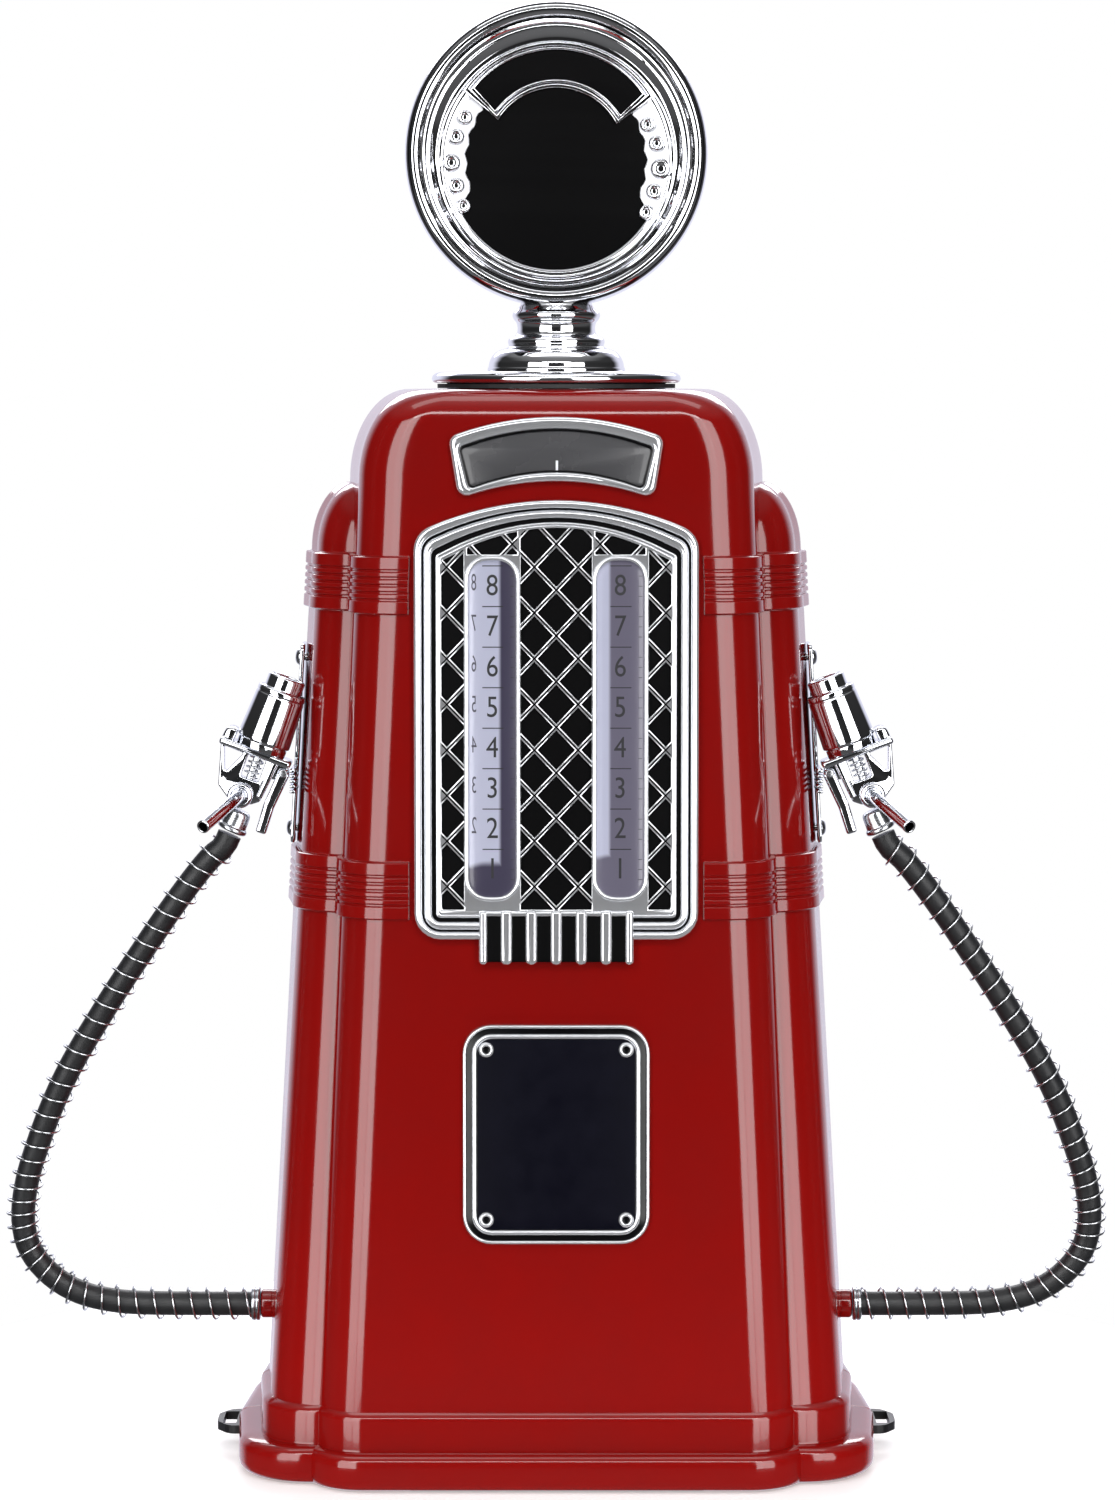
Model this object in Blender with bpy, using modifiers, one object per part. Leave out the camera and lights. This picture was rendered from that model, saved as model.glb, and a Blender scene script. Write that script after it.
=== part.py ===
"""Countertop double drinks dispenser shaped like a vintage gas pump, built as separate pieces.

Lengths in this file are millimetres and are turned into metres by MM when a mesh is made.
The front faces -Y, +Z is up, and the mid-plane y = 0 is where the two shells meet.
Sideways distances called "out" run from the centre line towards either side.
"""

import math

import bmesh
import bpy
from mathutils import Matrix, Vector

MM = 0.001
GAP = 0.3

# Body: every height is above the surface the rubber feet stand on.
SHELL_BOTTOM = 0.5
BODY_BASE = 25.2
BODY_TOP = 358.0
WALL = 2.6
CENTRE_HALF_WIDTH = 83.0
CENTRE_WIDTH_TAPER = 0.0469
CENTRE_HALF_DEPTH = 58.0
CENTRE_DEPTH_TAPER = 0.0242
CENTRE_CORNER = 16.0
CENTRE_DRAFT = 4.5
SIDE_HALF_WIDTH = 97.8
SIDE_WIDTH_TAPER = 0.0575
SIDE_HALF_DEPTH = 48.0
SIDE_DEPTH_TAPER = 0.0778
SIDE_CORNER = 19.0
SIDE_DRAFT = 2.5
SIDE_SHOULDER = 304.9
CENTRE_SHOULDER = 328.0
FRONT_ROUND = 347.0

# The two ribbed bands: centre height, half height, how far they stand out, groove pitch and depth.
BAND_HEIGHTS = (196.4, 295.1)
BAND_HALF_HEIGHT = 9.4
BAND_PROUD = 1.8
GROOVE_PITCH = 3.9
GROOVE_DEPTH = 1.0
GROOVES = 3
BAND_END = 47.7

# Front furniture.
GRILLE_HALF_WIDTH = 45.8
GRILLE_BOTTOM = 180.9
GRILLE_SHOULDER = 313.6
GRILLE_TOP = 322.6
GRILLE_RIM = 8.4
DIAMOND_HALF_WIDTH = 7.05
DIAMOND_HALF_HEIGHT = 7.36
LATTICE_BAR = 1.5
WINDOW_OUT = 20.6
WINDOW_HALF_WIDTH = 9.1
WINDOW_BOTTOM = 193.2
WINDOW_TOP = 304.7
WINDOW_RIM = 1.5
FIN_HALF_WIDTH = 24.9
FIN_BOTTOM = 172.9
FIN_TOP = 190.4
FIN_SLOTS = 6
FIN_PITCH = 8.05
FIN_SLOT_WIDTH = 4.3
PLATE_HALF_WIDTH = 30.3
PLATE_CENTRE = 117.1
PLATE_HALF_HEIGHT = 35.8
PLATE_CORNER = 9.3
RIVET_OUT = 22.7
RIVET_RISE = 27.8

# Sign on top.
LID_RADIUS = 41.5
LID_HOLE = 37.2
LID_TOP = 363.6
GLOBE_CENTRE = 435.0
GLOBE_RADIUS = 50.0
GLOBE_HALF_DEPTH = 13.5
FACE_RADIUS = 44.2
FACE_DROP = 2.0

# Hose and nozzle, measured in the nozzle's own upright plane.
HOSE_HEIGHT = 48.1
HOSE_RADIUS = 4.05
GUARD_RADIUS = 6.0
NOZZLE_PLANE = -18.0
NOZZLE_TILT = math.radians(20.8)
NOZZLE_CAP = (88.9, 263.0)
TRIGGER_PIVOT = (90.4, 231.4)
SPOUT_ROOT = (104.6, 224.2)
CONNECTOR_TOP = (104.75, 218.8)
CONNECTOR_END = (107.9, 212.1)

# Tanks inside the body.
TANK_NEAR = 3.0
TANK_FAR = 56.0
TANK_HALF_DEPTH = 33.0
TANK_BOTTOM = 178.0
TANK_TOP = 330.0
TANK_WALL = 2.0
NECK_OUT = 20.0
NECK_RADIUS = 14.0
OUTLET_OUT = 34.0

SIDES = (("left", -1), ("right", 1))

HOSE_ROUTE = (
    (100.7, 0.0, 48.1),
    (120.0, 0.0, 48.1),
    (139.4, 0.0, 48.3),
    (149.4, 0.0, 49.0),
    (159.3, -0.5, 51.2),
    (167.3, -1.0, 55.0),
    (174.0, -1.8, 60.8),
    (178.6, -2.6, 67.8),
    (180.4, -3.5, 75.6),
    (180.2, -4.5, 83.7),
    (178.3, -5.6, 93.6),
    (174.9, -6.7, 104.2),
    (171.0, -7.8, 114.6),
    (166.4, -9.0, 125.0),
    (160.8, -10.2, 135.6),
    (153.9, -11.5, 147.0),
    (146.6, -12.8, 158.6),
    (138.7, -14.0, 170.4),
    (130.7, -15.3, 182.2),
    (122.3, -16.6, 193.8),
    (115.2, -17.5, 202.6),
    (110.6, -18.0, 206.6),
    (108.45, -18.0, 210.8),
)


def clear_scene():
    """Start from an empty file."""
    for old in list(bpy.data.objects):
        bpy.data.objects.remove(old, do_unlink=True)


def new_collection(name):
    """Add a collection to the scene."""
    group = bpy.data.collections.new(name)
    bpy.context.scene.collection.children.link(group)
    return group


def finish(name, color, metallic=0.0, roughness=0.4, alpha=1.0):
    """Make one Principled material."""
    made = bpy.data.materials.new(name)
    made.use_nodes = True
    shader = made.node_tree.nodes["Principled BSDF"]
    shader.inputs["Base Color"].default_value = (*color, 1.0)
    shader.inputs["Metallic"].default_value = metallic
    shader.inputs["Roughness"].default_value = roughness
    shader.inputs["Alpha"].default_value = alpha
    if alpha < 1.0:
        shader.inputs["Transmission Weight"].default_value = 0.8
    return made


def place(name, data, material=None, smooth=False):
    """Put a mesh in the part's collection, or among the cutters when it has no material."""
    made = bpy.data.objects.new(name, data)
    if material is None:
        CUTTERS.objects.link(made)
        made.hide_render = True
        made.display_type = "WIRE"
        return made
    PIECES.objects.link(made)
    data.materials.clear()
    data.materials.append(material)
    if smooth:
        for face in data.polygons:
            face.use_smooth = True
    return made


def mesh_of(work, name):
    """Turn a bmesh in millimetres into a mesh in metres."""
    bmesh.ops.scale(work, vec=(MM, MM, MM), verts=work.verts)
    data = bpy.data.meshes.new(name)
    work.to_mesh(data)
    work.free()
    return data


def set_origin(made, point):
    """Move an object's origin to a point without moving its surface."""
    spot = Vector(point) * MM
    made.data.transform(Matrix.Translation(-(spot - made.location)))
    made.location = spot


def cut(made, tool, operation="DIFFERENCE"):
    """Add one live Boolean."""
    step = made.modifiers.new(tool.name, "BOOLEAN")
    step.operation = operation
    step.solver = "EXACT"
    step.object = tool


def soften(made, width, segments=2, angle=40):
    """Round the edges sharper than an angle."""
    step = made.modifiers.new("soft edges", "BEVEL")
    step.width = width * MM
    step.segments = segments
    step.limit_method = "ANGLE"
    step.angle_limit = math.radians(angle)


def block_mesh(name, low, high):
    """A box between two corners."""
    work = bmesh.new()
    size = [b - a for a, b in zip(low, high)]
    middle = [(a + b) / 2 for a, b in zip(low, high)]
    bmesh.ops.create_cube(work, size=1.0)
    bmesh.ops.scale(work, vec=size, verts=work.verts)
    bmesh.ops.translate(work, vec=middle, verts=work.verts)
    return mesh_of(work, name)


def rods_mesh(name, spots, radius, length, axis="Z", steps=20):
    """Separate round rods in one mesh, centred on the given points."""
    turn = {"X": Matrix.Rotation(math.pi / 2, 4, "Y"), "Y": Matrix.Rotation(math.pi / 2, 4, "X")}
    work = bmesh.new()
    for spot in spots:
        matrix = Matrix.Translation(spot) @ turn.get(axis, Matrix.Identity(4))
        bmesh.ops.create_cone(
            work, cap_ends=True, segments=steps, radius1=radius, radius2=radius, depth=length, matrix=matrix
        )
    return mesh_of(work, name)


def turned(name, profile, material, steps=32, closed=False):
    """Spin a profile of (radius, height) about Z; it runs from the top down the outer side."""
    data = bpy.data.meshes.new(name)
    points = [(radius * MM, 0.0, height * MM) for radius, height in profile]
    edges = [(i, i + 1) for i in range(len(points) - 1)]
    if closed:
        edges.append((len(points) - 1, 0))
    data.from_pydata(points, edges, [])
    made = place(name, data, material)
    spin = made.modifiers.new("turn", "SCREW")
    spin.axis = "Z"
    spin.steps = steps
    spin.render_steps = steps
    spin.use_merge_vertices = True
    spin.merge_threshold = 0.00001
    spin.use_smooth_shade = True
    return made


def aim(made, point, direction):
    """Stand an object's own Z along a direction at a point."""
    made.location = Vector(point) * MM
    made.rotation_euler = Vector(direction).to_track_quat("Z", "Y").to_euler()


def outline_mesh(name, loops, back, front):
    """A flat outline with holes in the XZ plane, thick from y = -back to y = -front."""
    drawing = bpy.data.curves.new(name, "CURVE")
    drawing.dimensions = "2D"
    drawing.fill_mode = "BOTH"
    drawing.extrude = abs(front - back) / 2 * MM
    for loop in loops:
        line = drawing.splines.new("POLY")
        line.points.add(len(loop) - 1)
        for spot, (across, up) in zip(line.points, loop):
            spot.co = (across * MM, up * MM, 0.0, 1.0)
        line.use_cyclic_u = True
    holder = bpy.data.objects.new(name, drawing)
    bpy.context.scene.collection.objects.link(holder)
    bpy.context.view_layer.update()
    data = bpy.data.meshes.new_from_object(holder.evaluated_get(bpy.context.evaluated_depsgraph_get()))
    bpy.data.objects.remove(holder)
    data.transform(Matrix.Rotation(math.pi / 2, 4, "X"))
    data.transform(Matrix.Translation((0.0, -(back + front) / 2 * MM, 0.0)))
    return weld(data, name)


def weld(data, name):
    """Join the duplicate points a converted curve comes with and turn its faces outwards."""
    work = bmesh.new()
    work.from_mesh(data)
    bmesh.ops.remove_doubles(work, verts=work.verts, dist=0.000001)
    bmesh.ops.recalc_face_normals(work, faces=work.faces)
    work.to_mesh(data)
    work.free()
    data.name = name
    return data


def fillet(corners, radius, steps=4):
    """Round every corner of a closed outline; a corner may carry its own radius as a third value."""
    rounded = []
    count = len(corners)
    for i, corner in enumerate(corners):
        here = Vector(corner[:2])
        size = corner[2] if len(corner) > 2 else radius
        before = Vector(corners[i - 1][:2]) - here
        after = Vector(corners[(i + 1) % count][:2]) - here
        half = before.angle(after) / 2
        if size <= 0 or half > 1.55:
            rounded.append(tuple(here))
            continue
        reach = size / math.tan(half)
        start = here + before.normalized() * reach
        end = here + after.normalized() * reach
        centre = here + (before.normalized() + after.normalized()).normalized() * (size / math.sin(half))
        first = start - centre
        sweep = first.angle_signed(end - centre)
        for k in range(steps + 1):
            turn = Matrix.Rotation(-sweep * k / steps, 2)
            rounded.append(tuple(centre + turn @ first))
    return rounded


def rounded_box(half_width, half_height, corner, middle=(0.0, 0.0), steps=4):
    """An upright rounded rectangle outline."""
    across, up = middle
    corners = [
        (across - half_width, up - half_height),
        (across + half_width, up - half_height),
        (across + half_width, up + half_height),
        (across - half_width, up + half_height),
    ]
    return fillet(corners, corner, steps)


def arched(half_bottom, low, low_apex, half_top, high, high_apex, corner, steps=4):
    """A rounded outline whose top and bottom edges are arcs bulging upwards."""
    shape = []
    for half, edge, apex, order in ((half_bottom, low, low_apex, 1), (half_top, high, high_apex, -1)):
        shape.append((-half * order, edge, corner))
        if abs(apex - edge) > 0.01:
            for part in (-0.68, -0.46, -0.23, 0.0, 0.23, 0.46, 0.68):
                shape.append((part * half * order, apex - (apex - edge) * part**2, 0.0))
        shape.append((half * order, edge, corner))
    return fillet(shape, corner, steps)


def grille_outline(inset, corner, low=GRILLE_BOTTOM):
    """The grille's arch, drawn in by an inset."""
    half = GRILLE_HALF_WIDTH - inset
    return arched(half, low + inset, low + inset, half, 312.0 - inset, GRILLE_TOP - inset, corner)


def window_outline(side, grow):
    """A sight window slot, grown by an amount."""
    middle = (side * WINDOW_OUT, (WINDOW_BOTTOM + WINDOW_TOP) / 2)
    half_width = WINDOW_HALF_WIDTH - WINDOW_RIM + grow
    half_height = (WINDOW_TOP - WINDOW_BOTTOM) / 2 - WINDOW_RIM + grow
    return rounded_box(half_width, half_height, half_width - 1.5, middle)


def front_depth(height):
    """How far the flat front of the centre lobe stands in front of the mid-plane."""
    return CENTRE_HALF_DEPTH - CENTRE_DEPTH_TAPER * (height - BODY_BASE)


def lean_on_front(made, height=248.0):
    """Lay a piece drawn at its real height, with y = 0 as the wall, on the leaning front."""
    lean = math.atan(CENTRE_DEPTH_TAPER)
    made.data.transform(Matrix.Translation((0.0, 0.0, -height * MM)))
    made.location = Vector((0.0, -front_depth(height), height)) * MM
    made.rotation_euler = (-lean, 0.0, 0.0)
    return made


def plan_ring(half_width, half_depth, corner, draft, steps=3, half=0):
    """One level of a lobe: a rounded rectangle whose sides draw in away from the mid-plane.

    With half -1 or 1 only the front or rear half is drawn, stopping just short of the mid-plane.
    """
    ring = []
    edge = half * GAP / 2
    quarters = ((1, 1, 0), (-1, 1, 1), (-1, -1, 2), (1, -1, 3))
    for side, way, quarter in quarters:
        if half and way != half:
            continue
        if quarter in (0, 2):
            ring.append((side * half_width, edge))
        across = side * (half_width - draft - corner)
        back = way * (half_depth - corner)
        for k in range(steps + 1):
            angle = (quarter + k / steps) * math.pi / 2
            ring.append((across + corner * math.cos(angle), back + corner * math.sin(angle)))
        if half and quarter in (1, 3):
            ring.append((side * half_width, edge))
    return ring


def loft(name, levels):
    """Skin a stack of (height, ring) levels and cap both ends."""
    work = bmesh.new()
    rings = [[work.verts.new((x, y, height)) for x, y in ring] for height, ring in levels]
    count = len(rings[0])
    for lower, upper in zip(rings, rings[1:]):
        for i in range(count):
            j = (i + 1) % count
            work.faces.new((lower[i], lower[j], upper[j], upper[i]))
    work.faces.new(rings[-1])
    work.faces.new(list(reversed(rings[0])))
    return mesh_of(work, name)


def band_rows():
    """(height, stand-out) pairs that draw both ribbed bands up the body."""
    rows = []
    for middle in BAND_HEIGHTS:
        rows.append((middle - BAND_HALF_HEIGHT, 0.0))
        rows.append((middle - BAND_HALF_HEIGHT + 0.3, BAND_PROUD))
        first = middle - GROOVES / 2 * GROOVE_PITCH
        for k in range(GROOVES):
            rows.append((first + k * GROOVE_PITCH, BAND_PROUD))
            rows.append((first + (k + 0.5) * GROOVE_PITCH, BAND_PROUD - GROOVE_DEPTH))
        rows.append((first + GROOVES * GROOVE_PITCH, BAND_PROUD))
        rows.append((middle + BAND_HALF_HEIGHT - 0.3, BAND_PROUD))
        rows.append((middle + BAND_HALF_HEIGHT, 0.0))
    return rows


def foot_rows():
    """(height, share of the foot's full stand-out) pairs for the rounded foot and the plinth."""
    return [
        (SHELL_BOTTOM, 0.66),
        (2.4, 0.95),
        (8.8, 1.0),
        (12.2, 0.78),
        (12.5, 0.3),
        (24.2, 0.25),
        (BODY_BASE, 0.0),
    ]


def centre_level(height, grow, foot=0.0, half=0):
    """Centre lobe ring at a height, grown by a band or the foot."""
    rise = max(0.0, height - BODY_BASE)
    half_width = CENTRE_HALF_WIDTH - CENTRE_WIDTH_TAPER * rise + grow + 4.0 * foot
    half_depth = CENTRE_HALF_DEPTH - CENTRE_DEPTH_TAPER * rise + grow + 7.0 * foot
    corner = CENTRE_CORNER + grow + 3.0 * foot
    return (height, plan_ring(half_width, half_depth, corner, CENTRE_DRAFT, 3, half))


def side_level(height, grow, foot=0.0, half=0):
    """Side lobe ring at a height, grown by a band or the foot."""
    rise = max(0.0, height - BODY_BASE)
    half_width = SIDE_HALF_WIDTH - SIDE_WIDTH_TAPER * rise + grow + 10.4 * foot
    half_depth = SIDE_HALF_DEPTH - SIDE_DEPTH_TAPER * rise + grow + 7.0 * foot
    corner = SIDE_CORNER - 0.008 * rise + grow + 4.0 * foot
    return (height, plan_ring(half_width, half_depth, corner, SIDE_DRAFT, 3, half))


def centre_crown(inset, turns, half=0):
    """Rounded top of the centre lobe."""
    levels = []
    for turn in turns:
        angle = math.radians(turn)
        height = CENTRE_SHOULDER + (BODY_TOP - CENTRE_SHOULDER - inset) * math.sin(angle)
        half_width = 49.0 - inset + 19.8 * math.cos(angle)
        half_depth = front_depth(min(height, FRONT_ROUND)) - inset
        if height > FRONT_ROUND:
            past = min(1.0, (height - FRONT_ROUND) / (BODY_TOP - inset - FRONT_ROUND))
            half_depth -= 9.8 * (1.0 - math.sqrt(1.0 - past**2))
        ring = plan_ring(half_width, half_depth, CENTRE_CORNER - inset, CENTRE_DRAFT, 3, half)
        levels.append((height, ring))
    return levels


def side_crown(inset, turns, half=0):
    """Rounded top of the side lobe, ending inside the centre lobe."""
    levels = []
    for turn in turns:
        angle = math.radians(turn)
        height = SIDE_SHOULDER + (22.4 - inset) * math.sin(angle)
        half_width = 68.0 - inset + 13.7 * math.cos(angle)
        half_depth = 13.0 - inset * 0.5 + 13.2 * math.cos(angle) - inset * 0.5 * math.cos(angle)
        corner = min(SIDE_CORNER - 2.2 - inset, half_depth * 0.66)
        levels.append((height, plan_ring(half_width, half_depth, corner, SIDE_DRAFT, 3, half)))
    return levels


def outer_lobes(half):
    """Levels of the centre and side lobes of one shell."""
    bands = band_rows()
    centre = [centre_level(z, 0.0, foot, half) for z, foot in foot_rows()]
    centre += [centre_level(z, grow, 0.0, half) for z, grow in bands]
    centre += centre_crown(0.0, (0, 25, 43, 60, 76, 90), half)
    side = [side_level(z, 0.0, foot, half) for z, foot in foot_rows()]
    side += [side_level(z, grow, 0.0, half) for z, grow in bands]
    side += side_crown(0.0, (0, 28, 52, 73, 90), half)
    return centre, side


def inner_lobes():
    """Levels of the hollow inside both shells."""
    foot_inside = ((-2.0, 0.72), (9.0, 0.72))
    centre = [centre_level(z, -WALL, foot) for z, foot in foot_inside]
    centre += [centre_level(z, -WALL) for z in (9.4, BODY_BASE, CENTRE_SHOULDER - 6.0)]
    centre += centre_crown(WALL, (0, 32, 57, 79, 90))
    side = [side_level(z, -WALL, foot) for z, foot in foot_inside]
    side += [side_level(z, -WALL) for z in (9.4, BODY_BASE, SIDE_SHOULDER - 8.0)]
    side += side_crown(WALL, (0, 42, 70, 90))
    return centre, side


def joined(name, meshes):
    """Several separate cutter meshes as one."""
    work = bmesh.new()
    for data in meshes:
        work.from_mesh(data)
    data = bpy.data.meshes.new(name)
    work.to_mesh(data)
    work.free()
    return data


def shell_openings(front):
    """Everything cut through a shell's wall, as one cutter mesh."""
    hoses = [(side * 97, 0, HOSE_HEIGHT) for _, side in SIDES]
    meshes = [
        rods_mesh("lid_hole", [(0, 0, BODY_TOP)], LID_HOLE, 12, steps=32),
        rods_mesh("hose_holes", hoses, 4.1, 14, "X"),
        rods_mesh("screw_holes", holster_screw_spots(), 1.4, 14, "X", 12),
    ]
    for _, side in SIDES:
        span = sorted((side * 99, side * 112))
        meshes.append(block_mesh("ear_slot", (span[0], -12.0, 5.3), (span[1], 12.0, 9.1)))
    if front:
        loops = [window_outline(side, 0.2) for _, side in SIDES]
        holder = bpy.data.objects.new("lean", outline_mesh("window_openings", loops, -6, 8))
        lean_on_front(holder)
        holder.data.transform(holder.matrix_basis)
        meshes.append(holder.data)
        bpy.data.objects.remove(holder)
    return joined("shell_openings", meshes)


def make_shells(red):
    """Front and rear shells, the same moulding except for the front openings."""
    inner_centre, inner_side = inner_lobes()
    centre_hollow = place("centre_hollow", loft("centre_hollow", inner_centre))
    side_hollow = place("side_hollow", loft("side_hollow", inner_side))
    for name, half in (("front_shell", -1), ("rear_shell", 1)):
        outer_centre, outer_side = outer_lobes(half)
        shell = place(name, loft(name, outer_centre), red, smooth=True)
        cut(shell, place(name + "_side_lobe", loft(name, outer_side)), "UNION")
        if half < 0:
            seat = place("grille_seat", block_mesh("grille_seat", (-BAND_END, -9, 176), (BAND_END, -0.02, 318)))
            cut(shell, lean_on_front(seat))
        cut(shell, centre_hollow)
        cut(shell, side_hollow)
        cut(shell, place(name + "_openings", shell_openings(half < 0)))


def make_base(black, rubber):
    """Base plate with its two fixing ears, and four rubber feet."""
    low, high = 5.8, 8.7
    grow = -WALL - GAP
    centre = [centre_level(0.0, grow, 0.72)[1]] * 2
    side = [side_level(0.0, grow, 0.72)[1]] * 2
    plate = place("base_plate", loft("base_plate", list(zip((low, high), centre))), black)
    tool = place("base_side_lobe", loft("base_side_lobe", [(low + 0.01, side[0]), (high - 0.01, side[1])]))
    cut(plate, tool, "UNION")
    for name, way in SIDES:
        shape = [(way * 98.0, -11.2, 0.0), (way * 111.0, -11.2, 4.5), (way * 115.2, -5.0, 4.5)]
        shape += [(across, -up, r) for across, up, r in reversed(shape)]
        ear = outline_mesh("ear", [fillet(shape, 0.0)], low + 0.02, high - 0.02)
        ear.transform(Matrix.Rotation(-math.pi / 2, 4, "X"))
        ear.transform(Matrix.Translation((0.0, 0.0, (low + high) * MM if ear.vertices[0].co.z < 0 else 0.0)))
        cut(plate, place("ear_" + name, ear), "UNION")
        span = sorted((way * 108.6, way * 113.2))
        hole = block_mesh("ear_hole", (span[0], -7.6, 2), (span[1], 7.6, 12))
        cut(plate, place("ear_hole_" + name, hole))
    profile = ((0.0, 5.5), (8.2, 5.5), (9.0, 4.7), (8.6, 0.4), (8.2, 0.0), (0.0, 0.0))
    for name, across, back in (
        ("front_left", -80, -26),
        ("front_right", 80, -26),
        ("rear_left", -80, 26),
        ("rear_right", 80, 26),
    ):
        foot = turned("rubber_foot_" + name, profile, rubber, 14)
        foot.location = (across * MM, back * MM, 0.0)


def clipped(shape, fence):
    """The part of a convex shape inside a convex outline that runs anticlockwise."""
    for a, b in zip(fence, fence[1:] + fence[:1]):
        kept = []
        for p, q in zip(shape, shape[1:] + shape[:1]):
            side_p = (b[0] - a[0]) * (p[1] - a[1]) - (b[1] - a[1]) * (p[0] - a[0])
            side_q = (b[0] - a[0]) * (q[1] - a[1]) - (b[1] - a[1]) * (q[0] - a[0])
            if side_p >= 0:
                kept.append(p)
            if (side_p >= 0) != (side_q >= 0):
                share = side_p / (side_p - side_q)
                kept.append((p[0] + (q[0] - p[0]) * share, p[1] + (q[1] - p[1]) * share))
        shape = kept
        if len(shape) < 3:
            return []
    return shape


def area_of(shape):
    """Area inside an outline."""
    pairs = zip(shape, shape[1:] + shape[:1])
    return abs(sum(p[0] * q[1] - q[0] * p[1] for p, q in pairs)) / 2


def lattice_openings():
    """Outlines of the diamond openings, cut off at the lattice field's edge and the window rims."""
    slim = LATTICE_BAR / 2 * 1.42
    half_width = DIAMOND_HALF_WIDTH - slim
    half_height = DIAMOND_HALF_HEIGHT - slim
    fence = grille_outline(GRILLE_RIM, 3.0)
    near = WINDOW_OUT - WINDOW_HALF_WIDTH
    far = WINDOW_OUT + WINDOW_HALF_WIDTH
    strips = ((-60.0, -far), (-near, near), (far, 60.0))
    openings = []
    for row in range(-10, 11):
        for column in range(-6, 7):
            if (row + column) % 2 == 0:
                continue
            across = column * DIAMOND_HALF_WIDTH
            up = 249.6 + row * DIAMOND_HALF_HEIGHT
            diamond = [(across + half_width, up), (across, up + half_height)]
            diamond += [(across - half_width, up), (across, up - half_height)]
            for left, right in strips:
                strip = [(left, FIN_TOP + 0.6), (right, FIN_TOP + 0.6), (right, 330.0), (left, 330.0)]
                shape = clipped(diamond, fence)
                if shape:
                    shape = clipped(shape, strip)
                if shape and area_of(shape) > 6.0:
                    openings.append(shape)
    return openings


def grille_edge():
    """Outer edge of the grille with the fin block hanging below it."""
    arch = grille_outline(0.0, 8.5)
    tab = [
        (-FIN_HALF_WIDTH, GRILLE_BOTTOM, 0.6),
        (-FIN_HALF_WIDTH, FIN_BOTTOM, 2.0),
        (FIN_HALF_WIDTH, FIN_BOTTOM, 2.0),
        (FIN_HALF_WIDTH, GRILLE_BOTTOM, 0.6),
    ]
    tab = fillet([(-40.0, GRILLE_BOTTOM, 0.0)] + tab + [(40.0, GRILLE_BOTTOM, 0.0), (0.0, 300.0, 0.0)], 0.0, 2)
    corner = [point for point in arch if point[0] < 0 and point[1] < 200]
    rest = [point for point in arch if point not in corner]
    return corner + tab[1:-2] + rest


def make_grille(chrome, black, clear):
    """Chrome grille with lattice, window rims and fins, its backing and both sight windows."""
    back, proud = 1.7, 4.3
    middle = (0.0, (FIN_TOP + FIN_BOTTOM) / 2)
    openings = [window_outline(side, 0.0) for _, side in SIDES]
    for k in range(FIN_SLOTS):
        across = (k - (FIN_SLOTS - 1) / 2) * FIN_PITCH
        openings.append(rounded_box(FIN_SLOT_WIDTH / 2, 7.0, 0.5, (across, middle[1] - 0.1), 1))
    loops = [grille_edge()] + lattice_openings() + openings
    lean_on_front(place("grille_panel", outline_mesh("grille_panel", loops, back, proud), chrome))

    fin_back = rounded_box(FIN_HALF_WIDTH - 1.5, (FIN_TOP - FIN_BOTTOM) / 2 - 0.8, 2.0, middle)
    data = outline_mesh("grille_backing", [grille_outline(1.4, 7.0)], GAP, back - GAP)
    backing = lean_on_front(place("grille_backing", data, black))
    tail = outline_mesh("backing_tail", [fin_back], GAP + 0.02, back - GAP - 0.02)
    cut(backing, lean_on_front(place("backing_tail", tail)), "UNION")
    loops = [window_outline(side, 0.0) for _, side in SIDES]
    cut(backing, lean_on_front(place("backing_holes", outline_mesh("backing_holes", loops, -5, 12))))

    for name, side in SIDES:
        data = outline_mesh("sight_window_" + name, [window_outline(side, -GAP)], -1.5, 3.6)
        window = lean_on_front(place("sight_window_" + name, data, clear))
        soften(window, 0.6, 1)


def make_display(chrome, grey):
    """Chrome frame and grey face at the top of the front."""
    outer = arched(31.4, 323.0, 328.6, 34.6, 342.9, 349.3, 3.4)
    inner = arched(28.0, 326.2, 331.6, 31.2, 339.6, 345.4, 1.6)
    frame = lean_on_front(place("display_frame", outline_mesh("display_frame", [outer, inner], GAP, 3.4), chrome))
    face = arched(27.7, 326.5, 331.9, 30.9, 339.3, 345.1, 1.4)
    lean_on_front(place("display_face", outline_mesh("display_face", [face], GAP, 1.8), grey))


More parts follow.
